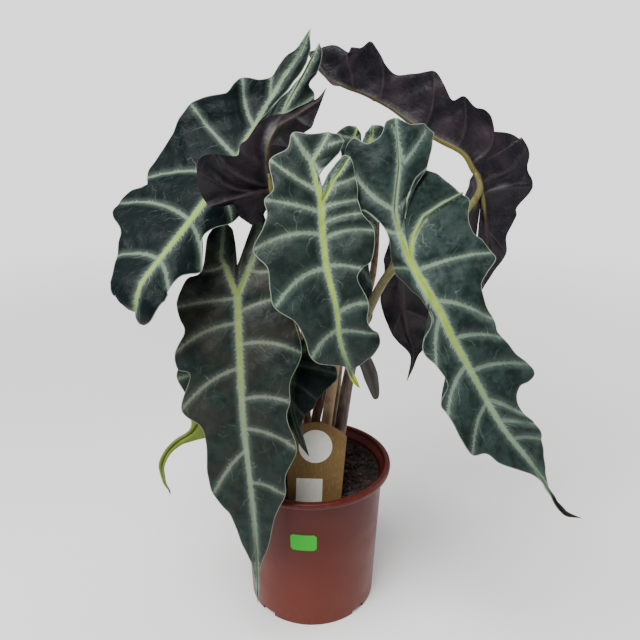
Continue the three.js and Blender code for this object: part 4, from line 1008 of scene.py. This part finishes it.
def pot_plastic(props):
    """Smooth brown-red moulded plastic with faint scuffs and soil dust at the mouth and foot, darkened
    towards the rim by painted shade under the leaves.
    """
    f = Finish("pot_plastic", 0.36, 0.2)
    place = f.place()
    height = f.node("ShaderNodeSeparateXYZ", {"Vector": place}).outputs["Z"]
    cloud = f.noise(place, 22.0, 3, 0.55)
    # Painted shade: the plastic darkens from the foot up to the rim, where the leaves shade it, and faint
    # random clouds are added on top.
    shade = f.plus(f.ease(height, 0.01, 0.12, 0.0, 0.85), f.ease(cloud, 0.3, 0.7, 0.0, 0.15))
    color = f.mix(shade, props.plastic, props.plastic_clouds_and_painted_shade)
    dust = f.noise(place, 260.0, 4, 0.7)
    low = f.ease(height, 0.002, 0.03, 0.55, 0.0)
    high = f.ease(height, 0.118, 0.134, 0.0, 0.35)
    dirty = f.times(f.math("MAXIMUM", low, high), f.ease(dust, 0.5, 0.72))
    color = f.mix(dirty, color, props.dust)
    f.plug("Roughness", f.ease(f.noise(place, 45.0, 3, 0.6), 0.3, 0.7, 0.33, 0.44))
    f.bump(f.noise(place, 900.0, 2, 0.5), 0.12, 0.0002)
    return f.paint(color)


def soil_finish(name, dark, light, scale=1.0):
    """Moist crumbly peat."""
    f = Finish(name, 0.85, 0.3)
    place = f.place()
    coarse, fine = f.noise(place, 160.0 * scale, 4, 0.7), f.noise(place, 650.0 * scale, 4, 0.7)
    color = f.mix(f.ease(coarse, 0.4, 0.7), dark, light)
    color = f.mix(f.ease(fine, 0.45, 0.75, 0.0, 0.6), color, dark)
    f.bump(f.plus(coarse, fine), 0.8, 0.0012)
    return f.paint(color)


def card_finish(props):
    """Brown uncoated card with short fibres."""
    f = Finish("card_brown", 0.75, 0.3)
    place = f.place()
    fibre = f.noise(f.stretched(place, 0.3), 700.0, 3, 0.7)
    cloud = f.noise(place, 60.0, 3, 0.6)
    color = f.mix(f.ease(cloud, 0.3, 0.7), props.card, props.card_dark)
    color = f.mix(f.ease(fibre, 0.5, 0.72, 0.0, 0.2), color, props.card_fibre)
    f.bump(fibre, 0.2, 0.0002)
    return f.paint(color)


def paper_finish(name, color, shade, roughness=0.6):
    """Plain printed paper with a trace of mottle."""
    f = Finish(name, roughness, 0.35)
    tint = f.noise(f.place(), 320.0, 3, 0.6)
    f.bump(tint, 0.1, 0.0001)
    return f.paint(f.mix(f.ease(tint, 0.3, 0.7, 0.0, 0.5), color, shade))


def floor_finish(props):
    """Pale matt surface that fades out into the even backdrop away from the plant."""
    f = Finish("floor_pale", 0.7, 0.2)
    place = f.place()
    f.paint(f.mix(f.ease(f.noise(place, 2.5, 3, 0.5), 0.3, 0.7), props.floor, props.floor_shade))
    flat = f.node("ShaderNodeVectorMath", {0: place, 1: (1.0, 1.0, 0.0)}, operation="MULTIPLY").outputs[0]
    far = f.node("ShaderNodeVectorMath", {0: flat}, operation="LENGTH").outputs["Value"]
    clear = f.node("ShaderNodeBsdfTransparent", {}).outputs[0]
    faded = f.ease(far, props.fade_near, props.fade_far)
    mix = f.node("ShaderNodeMixShader", {0: faded, 1: f.shader.outputs[0], 2: clear})
    f.tree.links.new(mix.outputs[0], f.tree.nodes["Material Output"].inputs["Surface"])
    return f.material


def even_light(props):
    """A bright even backdrop that lights the plant less than it shows."""
    world = bpy.data.worlds.new("even_light")
    world.use_nodes = True
    tree = world.node_tree
    background = tree.nodes["Background"]
    background.inputs["Color"].default_value = (*props.backdrop, 1)
    seen = tree.nodes.new("ShaderNodeLightPath").outputs["Is Camera Ray"]
    strength = tree.nodes.new("ShaderNodeMapRange")
    strength.inputs["To Min"].default_value = props.sky
    strength.inputs["To Max"].default_value = props.backdrop_strength
    tree.links.new(seen, strength.inputs["Value"])
    tree.links.new(strength.outputs[0], background.inputs["Strength"])
    return world

# Pieces

POT_CREASE = 35


def shade(mesh, degrees):
    """Smooth shading, with edges sharper than the angle kept crisp."""
    mesh.polygons.foreach_set("use_smooth", [True] * len(mesh.polygons))
    mesh.set_sharp_from_angle(angle=math.radians(degrees))


def solid(name, vertices, faces, materials, smooth_angle, numbers=None):
    """Makes a piece from points in millimetres and faces; numbers give each face's material."""
    mesh = bpy.data.meshes.new(name)
    mesh.from_pydata((np.asarray(vertices) * MM).tolist(), [], [list(face) for face in faces])
    for material in materials:
        mesh.materials.append(material)
    if numbers:
        mesh.polygons.foreach_set("material_index", numbers)
    if smooth_angle:
        shade(mesh, smooth_angle)
    mesh.update()
    piece = bpy.data.objects.new(name, mesh)
    bpy.context.scene.collection.objects.link(piece)
    return piece


def seat(piece, slot, *nodes):
    """Rides a piece on the plant's one body and hides the imported nodes that it stands in for."""
    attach(piece, "root")
    if nodes:
        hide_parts(*nodes)


def set_values(piece, values):
    for name, value in values.items():
        attribute = piece.data.attributes.new(name, "FLOAT", "POINT")
        attribute.data.foreach_set("value", np.asarray(value, np.float32))


def carved(piece, cutter):
    """Cuts one piece's mesh out of another and keeps the result."""
    cut = piece.modifiers.new("cut", "BOOLEAN")
    cut.operation, cut.object, cut.solver = "DIFFERENCE", cutter, "EXACT"
    bpy.context.view_layer.update()
    mesh = bpy.data.meshes.new_from_object(piece.evaluated_get(bpy.context.evaluated_depsgraph_get()))
    piece.modifiers.clear()
    piece.data = mesh
    bpy.data.objects.remove(cutter)
    shade(mesh, POT_CREASE)


# Properties


def length(name, description, default, least=0.0, most=1.0):
    return FloatProperty(name=name, description=description, default=default, min=least, max=most,
                         unit="LENGTH", subtype="DISTANCE", precision=4)


def tint(name, description, default):
    return FloatVectorProperty(name=name, description=description, default=default, size=3, min=0, max=1,
                               subtype="COLOR")


class LeafProperties(bpy.types.PropertyGroup):
    blade_thickness: length("Thickness", "Thickness of the blades", 0.0008)
    quilting: length("Quilting", "How far the blade swells between its veins", 0.0022)
    ruffle: length("Ruffle", "Slow uneven swell of the blade towards its margin", 0.0018)
    vein_rise: length("Vein rise", "How far the midrib stands out above the blade", 0.0006)
    rib_drop: length("Rib drop", "How far the midrib stands out below the blade", 0.0022)
    blade_dark: tint("Blade, dark", "Darkest green of the upper face", (0.0045, 0.011, 0.0095))
    blade_green: tint("Blade", "Blue-green of the upper face", (0.0105, 0.024, 0.019))
    # Painted shade: the blue-black colour that the shade value mixes into a leaf's upper face.
    blade_painted_shade: tint("Blade, shade", "Blue-black cast of the darkest blades", (0.0025, 0.0052, 0.006))
    # Painted sheen: the grey-green of a soft reflection, laid on the upper face as colour.
    blade_painted_sheen: tint("Blade, grey", "Silvery bloom on the upper face", (0.04, 0.064, 0.057))
    blade_brown: tint("Blade, brown", "Brown cast of the older leaf", (0.034, 0.029, 0.021))
    vein_pale: tint("Vein", "Silvery green of the vein bands", (0.165, 0.225, 0.18))
    vein_light: tint("Vein, near joint", "Light green of the bands near the joint", (0.2, 0.285, 0.17))
    vein_core: tint("Vein core", "Green line in the middle of a vein", (0.07, 0.125, 0.065))
    vein_bright: tint("Midrib, near joint", "Yellow-green of the midrib near the joint", (0.26, 0.38, 0.05))
    vein_dull: tint("Vein, dull", "Brownish cast of the older leaf's veins", (0.2, 0.19, 0.14))
    margin_color: tint("Margin", "Pale line along the margin", (0.3, 0.36, 0.27))
    underside_dark: tint("Underside, dark", "Darkest purple of the underside", (0.0043, 0.004, 0.0068))
    underside_wine: tint("Underside", "Wine purple of the underside", (0.021, 0.0125, 0.018))
    underside_rib: tint("Underside ribs", "Dull ribs of the underside", (0.06, 0.042, 0.045))
    underside_olive: tint("Underside midrib", "Olive of the midrib under the joint", (0.16, 0.14, 0.03))
    petiole_tan: tint("Petiole, tan", "Tan petioles", (0.22, 0.13, 0.06))
    petiole_olive: tint("Petiole, olive", "Olive end of the petioles", (0.15, 0.15, 0.04))
    petiole_russet: tint("Petiole, russet", "Brown-red petioles", (0.12, 0.045, 0.028))
    petiole_sand: tint("Petiole, sand", "Light greenish tan petioles", (0.23, 0.17, 0.085))
    tip_pale: tint("Tip, pale", "Grey-green drip tip", (0.16, 0.22, 0.16))
    tip_yellow: tint("Tip, yellow", "Bright yellow-green curled tip", (0.42, 0.5, 0.04))
    tip_dark: tint("Tip, dark", "Brown-black dried tip", (0.02, 0.016, 0.014))
    tip_ash: tint("Tip, ash", "Grey-brown drip tip", (0.075, 0.07, 0.062))
    tip_olive: tint("Tip, olive", "Olive-green curled tip", (0.13, 0.17, 0.03))
    petiole_plum: tint("Petiole, plum", "Purple-brown petioles and blotches", (0.05, 0.025, 0.03))
    petiole_light: tint("Petiole streaks", "Light streaks on the petioles", (0.27, 0.19, 0.11))


class PotProperties(bpy.types.PropertyGroup):
    segments: IntProperty(name="Segments", description="Faces round the pot", default=192, min=24, max=512)
    plastic: tint("Plastic", "Brown-red of the pot", (0.118, 0.02, 0.0105))
    # This is also the colour of the painted shade that darkens the pot towards the rim.
    plastic_clouds_and_painted_shade: tint("Plastic, dark", "Darker clouds in the plastic", (0.064, 0.0068, 0.004))
    dust: tint("Dust", "Soil dust on the pot", (0.09, 0.055, 0.04))


class SoilProperties(bpy.types.PropertyGroup):
    crumbs: IntProperty(name="Crumbs", description="Loose crumbs on the soil", default=1100, min=0,
                        max=4000)
    specks: IntProperty(name="Specks", description="Pale specks on the soil", default=45, min=0, max=500)
    dark: tint("Soil, dark", "Moist peat", (0.014, 0.0085, 0.008))
    light: tint("Soil, light", "Drier peat", (0.055, 0.034, 0.027))
    crumb: tint("Crumb", "Brown bark crumbs", (0.085, 0.05, 0.036))
    speck: tint("Speck", "Pale specks", (0.4, 0.34, 0.28))


class LabelProperties(bpy.types.PropertyGroup):
    card: tint("Card", "Brown card", (0.135, 0.08, 0.024))
    card_dark: tint("Card, dark", "Darker clouds in the card", (0.115, 0.068, 0.021))
    card_fibre: tint("Card fibres", "Light fibres in the card", (0.37, 0.275, 0.135))
    paper: tint("Paper", "White printed fields", (0.6, 0.58, 0.53))
    paper_shade: tint("Paper, shaded", "Mottle of the white fields", (0.5, 0.48, 0.43))
    sticker: tint("Sticker", "Green price sticker", (0.0, 0.36, 0.0))
    sticker_shade: tint("Sticker, shaded", "Mottle of the sticker", (0.0, 0.33, 0.0))


class StageProperties(bpy.types.PropertyGroup):
    camera_place: FloatVectorProperty(name="Camera", description="Where the camera stands",
                                      default=(0.0073, -0.5348, 0.4692), size=3, subtype="TRANSLATION")
    camera_pitch: FloatProperty(name="Pitch", description="How far the camera looks down",
                                default=math.radians(20.7), subtype="ANGLE")
    lens: FloatProperty(name="Lens", description="Focal length for a 36 mm sensor", default=39, min=10,
                        max=200, unit="CAMERA")
    floor: tint("Floor", "Pale floor", (0.9, 0.895, 0.89))
    floor_shade: tint("Floor, shaded", "Faint clouds of the floor", (0.87, 0.865, 0.86))
    backdrop: tint("Backdrop", "Even grey behind the plant", (1.0, 1.0, 1.0))
    fade_near: length("Fade from", "Distance at which the floor starts to turn into the backdrop",
                      0.4, 0.1, 10)
    fade_far: length("Fade to", "Distance at which only the backdrop is left", 1.5, 0.1, 20)
    backdrop_strength: FloatProperty(name="Backdrop strength", description="How bright the backdrop shows",
                                     default=1.75, min=0, max=10)
    sky: FloatProperty(name="Sky", description="Strength of the even light", default=0.5, min=0, max=10)
    window: FloatProperty(name="Window", description="Power of the large soft light", default=60, min=0,
                          max=1000, unit="POWER")
    fill: FloatProperty(name="Fill", description="Power of the side light", default=7, min=0, max=1000,
                        unit="POWER")


FLOOR_REACH, SENSOR_WIDTH, SOIL_SEED, SOIL_CREASE = 9000, 36, 7, 60


def soft_light(name, place, target, size, power):
    light = bpy.data.lights.new(name, "AREA")
    light.shape, light.size, light.energy = "DISK", size, power
    holder = bpy.data.objects.new(name, light)
    holder.location = place
    x, y, z = np.subtract(target, place)
    holder.rotation_euler = (math.atan2(math.hypot(x, y), -z), 0, math.atan2(-x, y))
    bpy.context.scene.collection.objects.link(holder)


# Operators


class PLANT_OT_stage(bpy.types.Operator):
    """Adds the camera, the pale floor and the soft lights"""
    bl_idname = "plant.stage"
    bl_label = "Stage"

    def execute(self, context):
        props = context.scene.alocasia_stage
        camera = bpy.data.cameras.new("camera")
        camera.lens, camera.sensor_width, camera.clip_start = props.lens, SENSOR_WIDTH, 0.01
        holder = bpy.data.objects.new("camera", camera)
        holder.location = props.camera_place
        holder.rotation_euler = (math.pi / 2 - props.camera_pitch, 0, 0)
        context.scene.collection.objects.link(holder)
        context.scene.camera = holder
        corners = [(x * FLOOR_REACH, y * FLOOR_REACH, 0) for x, y in ((-1, -1), (1, -1), (1, 1), (-1, 1))]
        solid("floor", corners, [(0, 1, 2, 3)], [floor_finish(props)], 0)
        context.scene.world = even_light(props)
        soft_light("window", (-0.5, -0.7, 1.7), (0, 0, 0.25), 1.3, props.window)
        soft_light("fill", (1.3, 0.5, 0.9), (0, 0, 0.2), 0.9, props.fill)
        return {"FINISHED"}


class PLANT_OT_pot(bpy.types.Operator):
    """Builds the moulded nursery pot with its rolled lip, foot notches and drain holes"""
    bl_idname = "plant.pot"
    bl_label = "Pot"

    def execute(self, context):
        props = context.scene.alocasia_pot
        vertices, faces = turned_solid(pot_profile(), props.segments)
        pot = solid("pot_shell", vertices, faces, [pot_plastic(props)], POT_CREASE)
        carved(pot, solid("pot_cutters", *pot_cutters(), [], 0))
        seat(pot, "pot", "pot")
        return {"FINISHED"}


class PLANT_OT_soil(bpy.types.Operator):
    """Builds the soil with its crumbs and pale specks"""
    bl_idname = "plant.soil"
    bl_label = "Soil"

    def execute(self, context):
        props = context.scene.alocasia_soil
        clear = [(leaf["petiole"][0][0], leaf["petiole"][0][1], leaf["petiole_radius"][0] + 0.5)
                 for leaf in LEAVES.values()]
        peat = soil_finish("peat", props.dark, props.light)
        bed = solid("soil_bed", *soil_mesh(SOIL_SEED), [peat], SOIL_CREASE)
        seat(bed, "soil", "soil")
        bark = soil_finish("bark_crumb", props.dark, props.crumb, 0.8)
        pale = soil_finish("pale_speck", props.crumb, props.speck, 2.0)
        heaps = (("soil_crumbs", props.crumbs, (0.5, 2.6), 11, bark),
                 ("soil_specks", props.specks, (0.35, 0.9), 12, pale))
        for name, count, sizes, seed, finish in heaps:
            heap = crumbs_mesh(count, sizes, seed, clear, SOIL_SEED)
            seat(solid(name, *heap, [finish], SOIL_CREASE), "soil")
        return {"FINISHED"}


class PLANT_OT_labels(bpy.types.Operator):
    """Builds the card label with its two bare white fields, and the bare price sticker"""
    bl_idname = "plant.labels"
    bl_label = "Labels"

    def execute(self, context):
        props = context.scene.alocasia_label
        half = LABEL["thickness"] / 2
        paper = paper_finish("paper_white", props.paper, props.paper_shade)
        card = solid("label_card", *plate(card_outline(), half, -half), [card_finish(props)], 30)
        seat(card, "label", "care_label")
        for name, outline in (("label_disc", disc_outline()), ("label_square", square_outline())):
            seat(solid(name, *plate(outline, half + 0.12, half - 0.1), [paper], 30), "label")
        green = paper_finish("sticker_green", props.sticker, props.sticker_shade, 0.5)
        seat(solid("sticker_plate", *sticker_mesh(), [green], 40), "sticker", "price_sticker")
        return {"FINISHED"}


class PLANT_OT_leaves(bpy.types.Operator):
    """Builds the ten leaves, each a blade on its petiole"""
    bl_idname = "plant.leaves"
    bl_label = "Leaves"

    def execute(self, context):
        props = context.scene.alocasia_leaf
        for seed, (name, leaf) in enumerate(LEAVES.items(), start=1):
            blade, blade_faces, values, sheet = blade_mesh(leaf, seed, props)
            stem, stem_faces, climb = petiole_mesh(leaf, sheet.midrib, seed)
            vertices, faces = stacked([(blade, blade_faces), (stem, stem_faces)])
            face, rim = len(sheet.faces), len(blade_faces) - 2 * len(sheet.faces)
            numbers = np.repeat(range(4), (face, face, rim, len(stem_faces))).tolist()
            edge = props.underside_rib if leaf.get("dark_edged") else props.margin_color
            finishes = [upper_face(name + "_upper", leaf, seed, props),
                        lower_face(name + "_lower", leaf, seed, props),
                        rim_face(name + "_rim", edge, props),
                        petiole_skin(name + "_petiole", leaf, props)]
            piece = solid(name + "_leaf", vertices, faces, finishes, 180, numbers)
            mark_rims(piece)
            values = {key: np.concatenate([value, np.zeros(len(stem))]) for key, value in values.items()}
            values["climb"][-len(stem):] = climb
            set_values(piece, values)
            seat(piece, "leaf", "leaf_" + name)
        return {"FINISHED"}


def mark_rims(piece):
    """Keeps the blade's thin edge crisp against both faces."""
    work = bmesh.new()
    work.from_mesh(piece.data)
    for edge in work.edges:
        edge.smooth = len({face.material_index for face in edge.link_faces}) == 1
    work.to_mesh(piece.data)
    work.free()


class PLANT_PT_sidebar(bpy.types.Panel):
    """Lists the plant's pieces and their sizes and colours"""
    bl_idname = "PLANT_PT_sidebar"
    bl_label = "Alocasia"
    bl_space_type = "VIEW_3D"
    bl_region_type = "UI"
    bl_category = "Alocasia"

    def draw(self, context):
        for operator, group in STEPS:
            box = self.layout.box()
            box.operator(operator.bl_idname)
            props = getattr(context.scene, group)
            for name in props.bl_rna.properties.keys():
                if name not in ("rna_type", "name"):
                    box.prop(props, name)


GROUPS = {
    "alocasia_stage": StageProperties, "alocasia_pot": PotProperties, "alocasia_soil": SoilProperties,
    "alocasia_label": LabelProperties, "alocasia_leaf": LeafProperties,
}
STEPS = (
    (PLANT_OT_stage, "alocasia_stage"), (PLANT_OT_pot, "alocasia_pot"), (PLANT_OT_soil, "alocasia_soil"),
    (PLANT_OT_labels, "alocasia_label"), (PLANT_OT_leaves, "alocasia_leaf"),
)
CLASSES = (*GROUPS.values(), *(step[0] for step in STEPS), PLANT_PT_sidebar)


def register():
    for item in CLASSES:
        bpy.utils.register_class(item)
    for name, group in GROUPS.items():
        setattr(bpy.types.Scene, name, PointerProperty(type=group))


def unregister():
    for name in GROUPS:
        delattr(bpy.types.Scene, name)
    for item in reversed(CLASSES):
        bpy.utils.unregister_class(item)


def main():
    register()
    bpy.ops.plant.stage()
    bpy.ops.plant.pot()
    bpy.ops.plant.soil()
    bpy.ops.plant.labels()
    bpy.ops.plant.leaves()


if __name__ == "__main__":
    main()
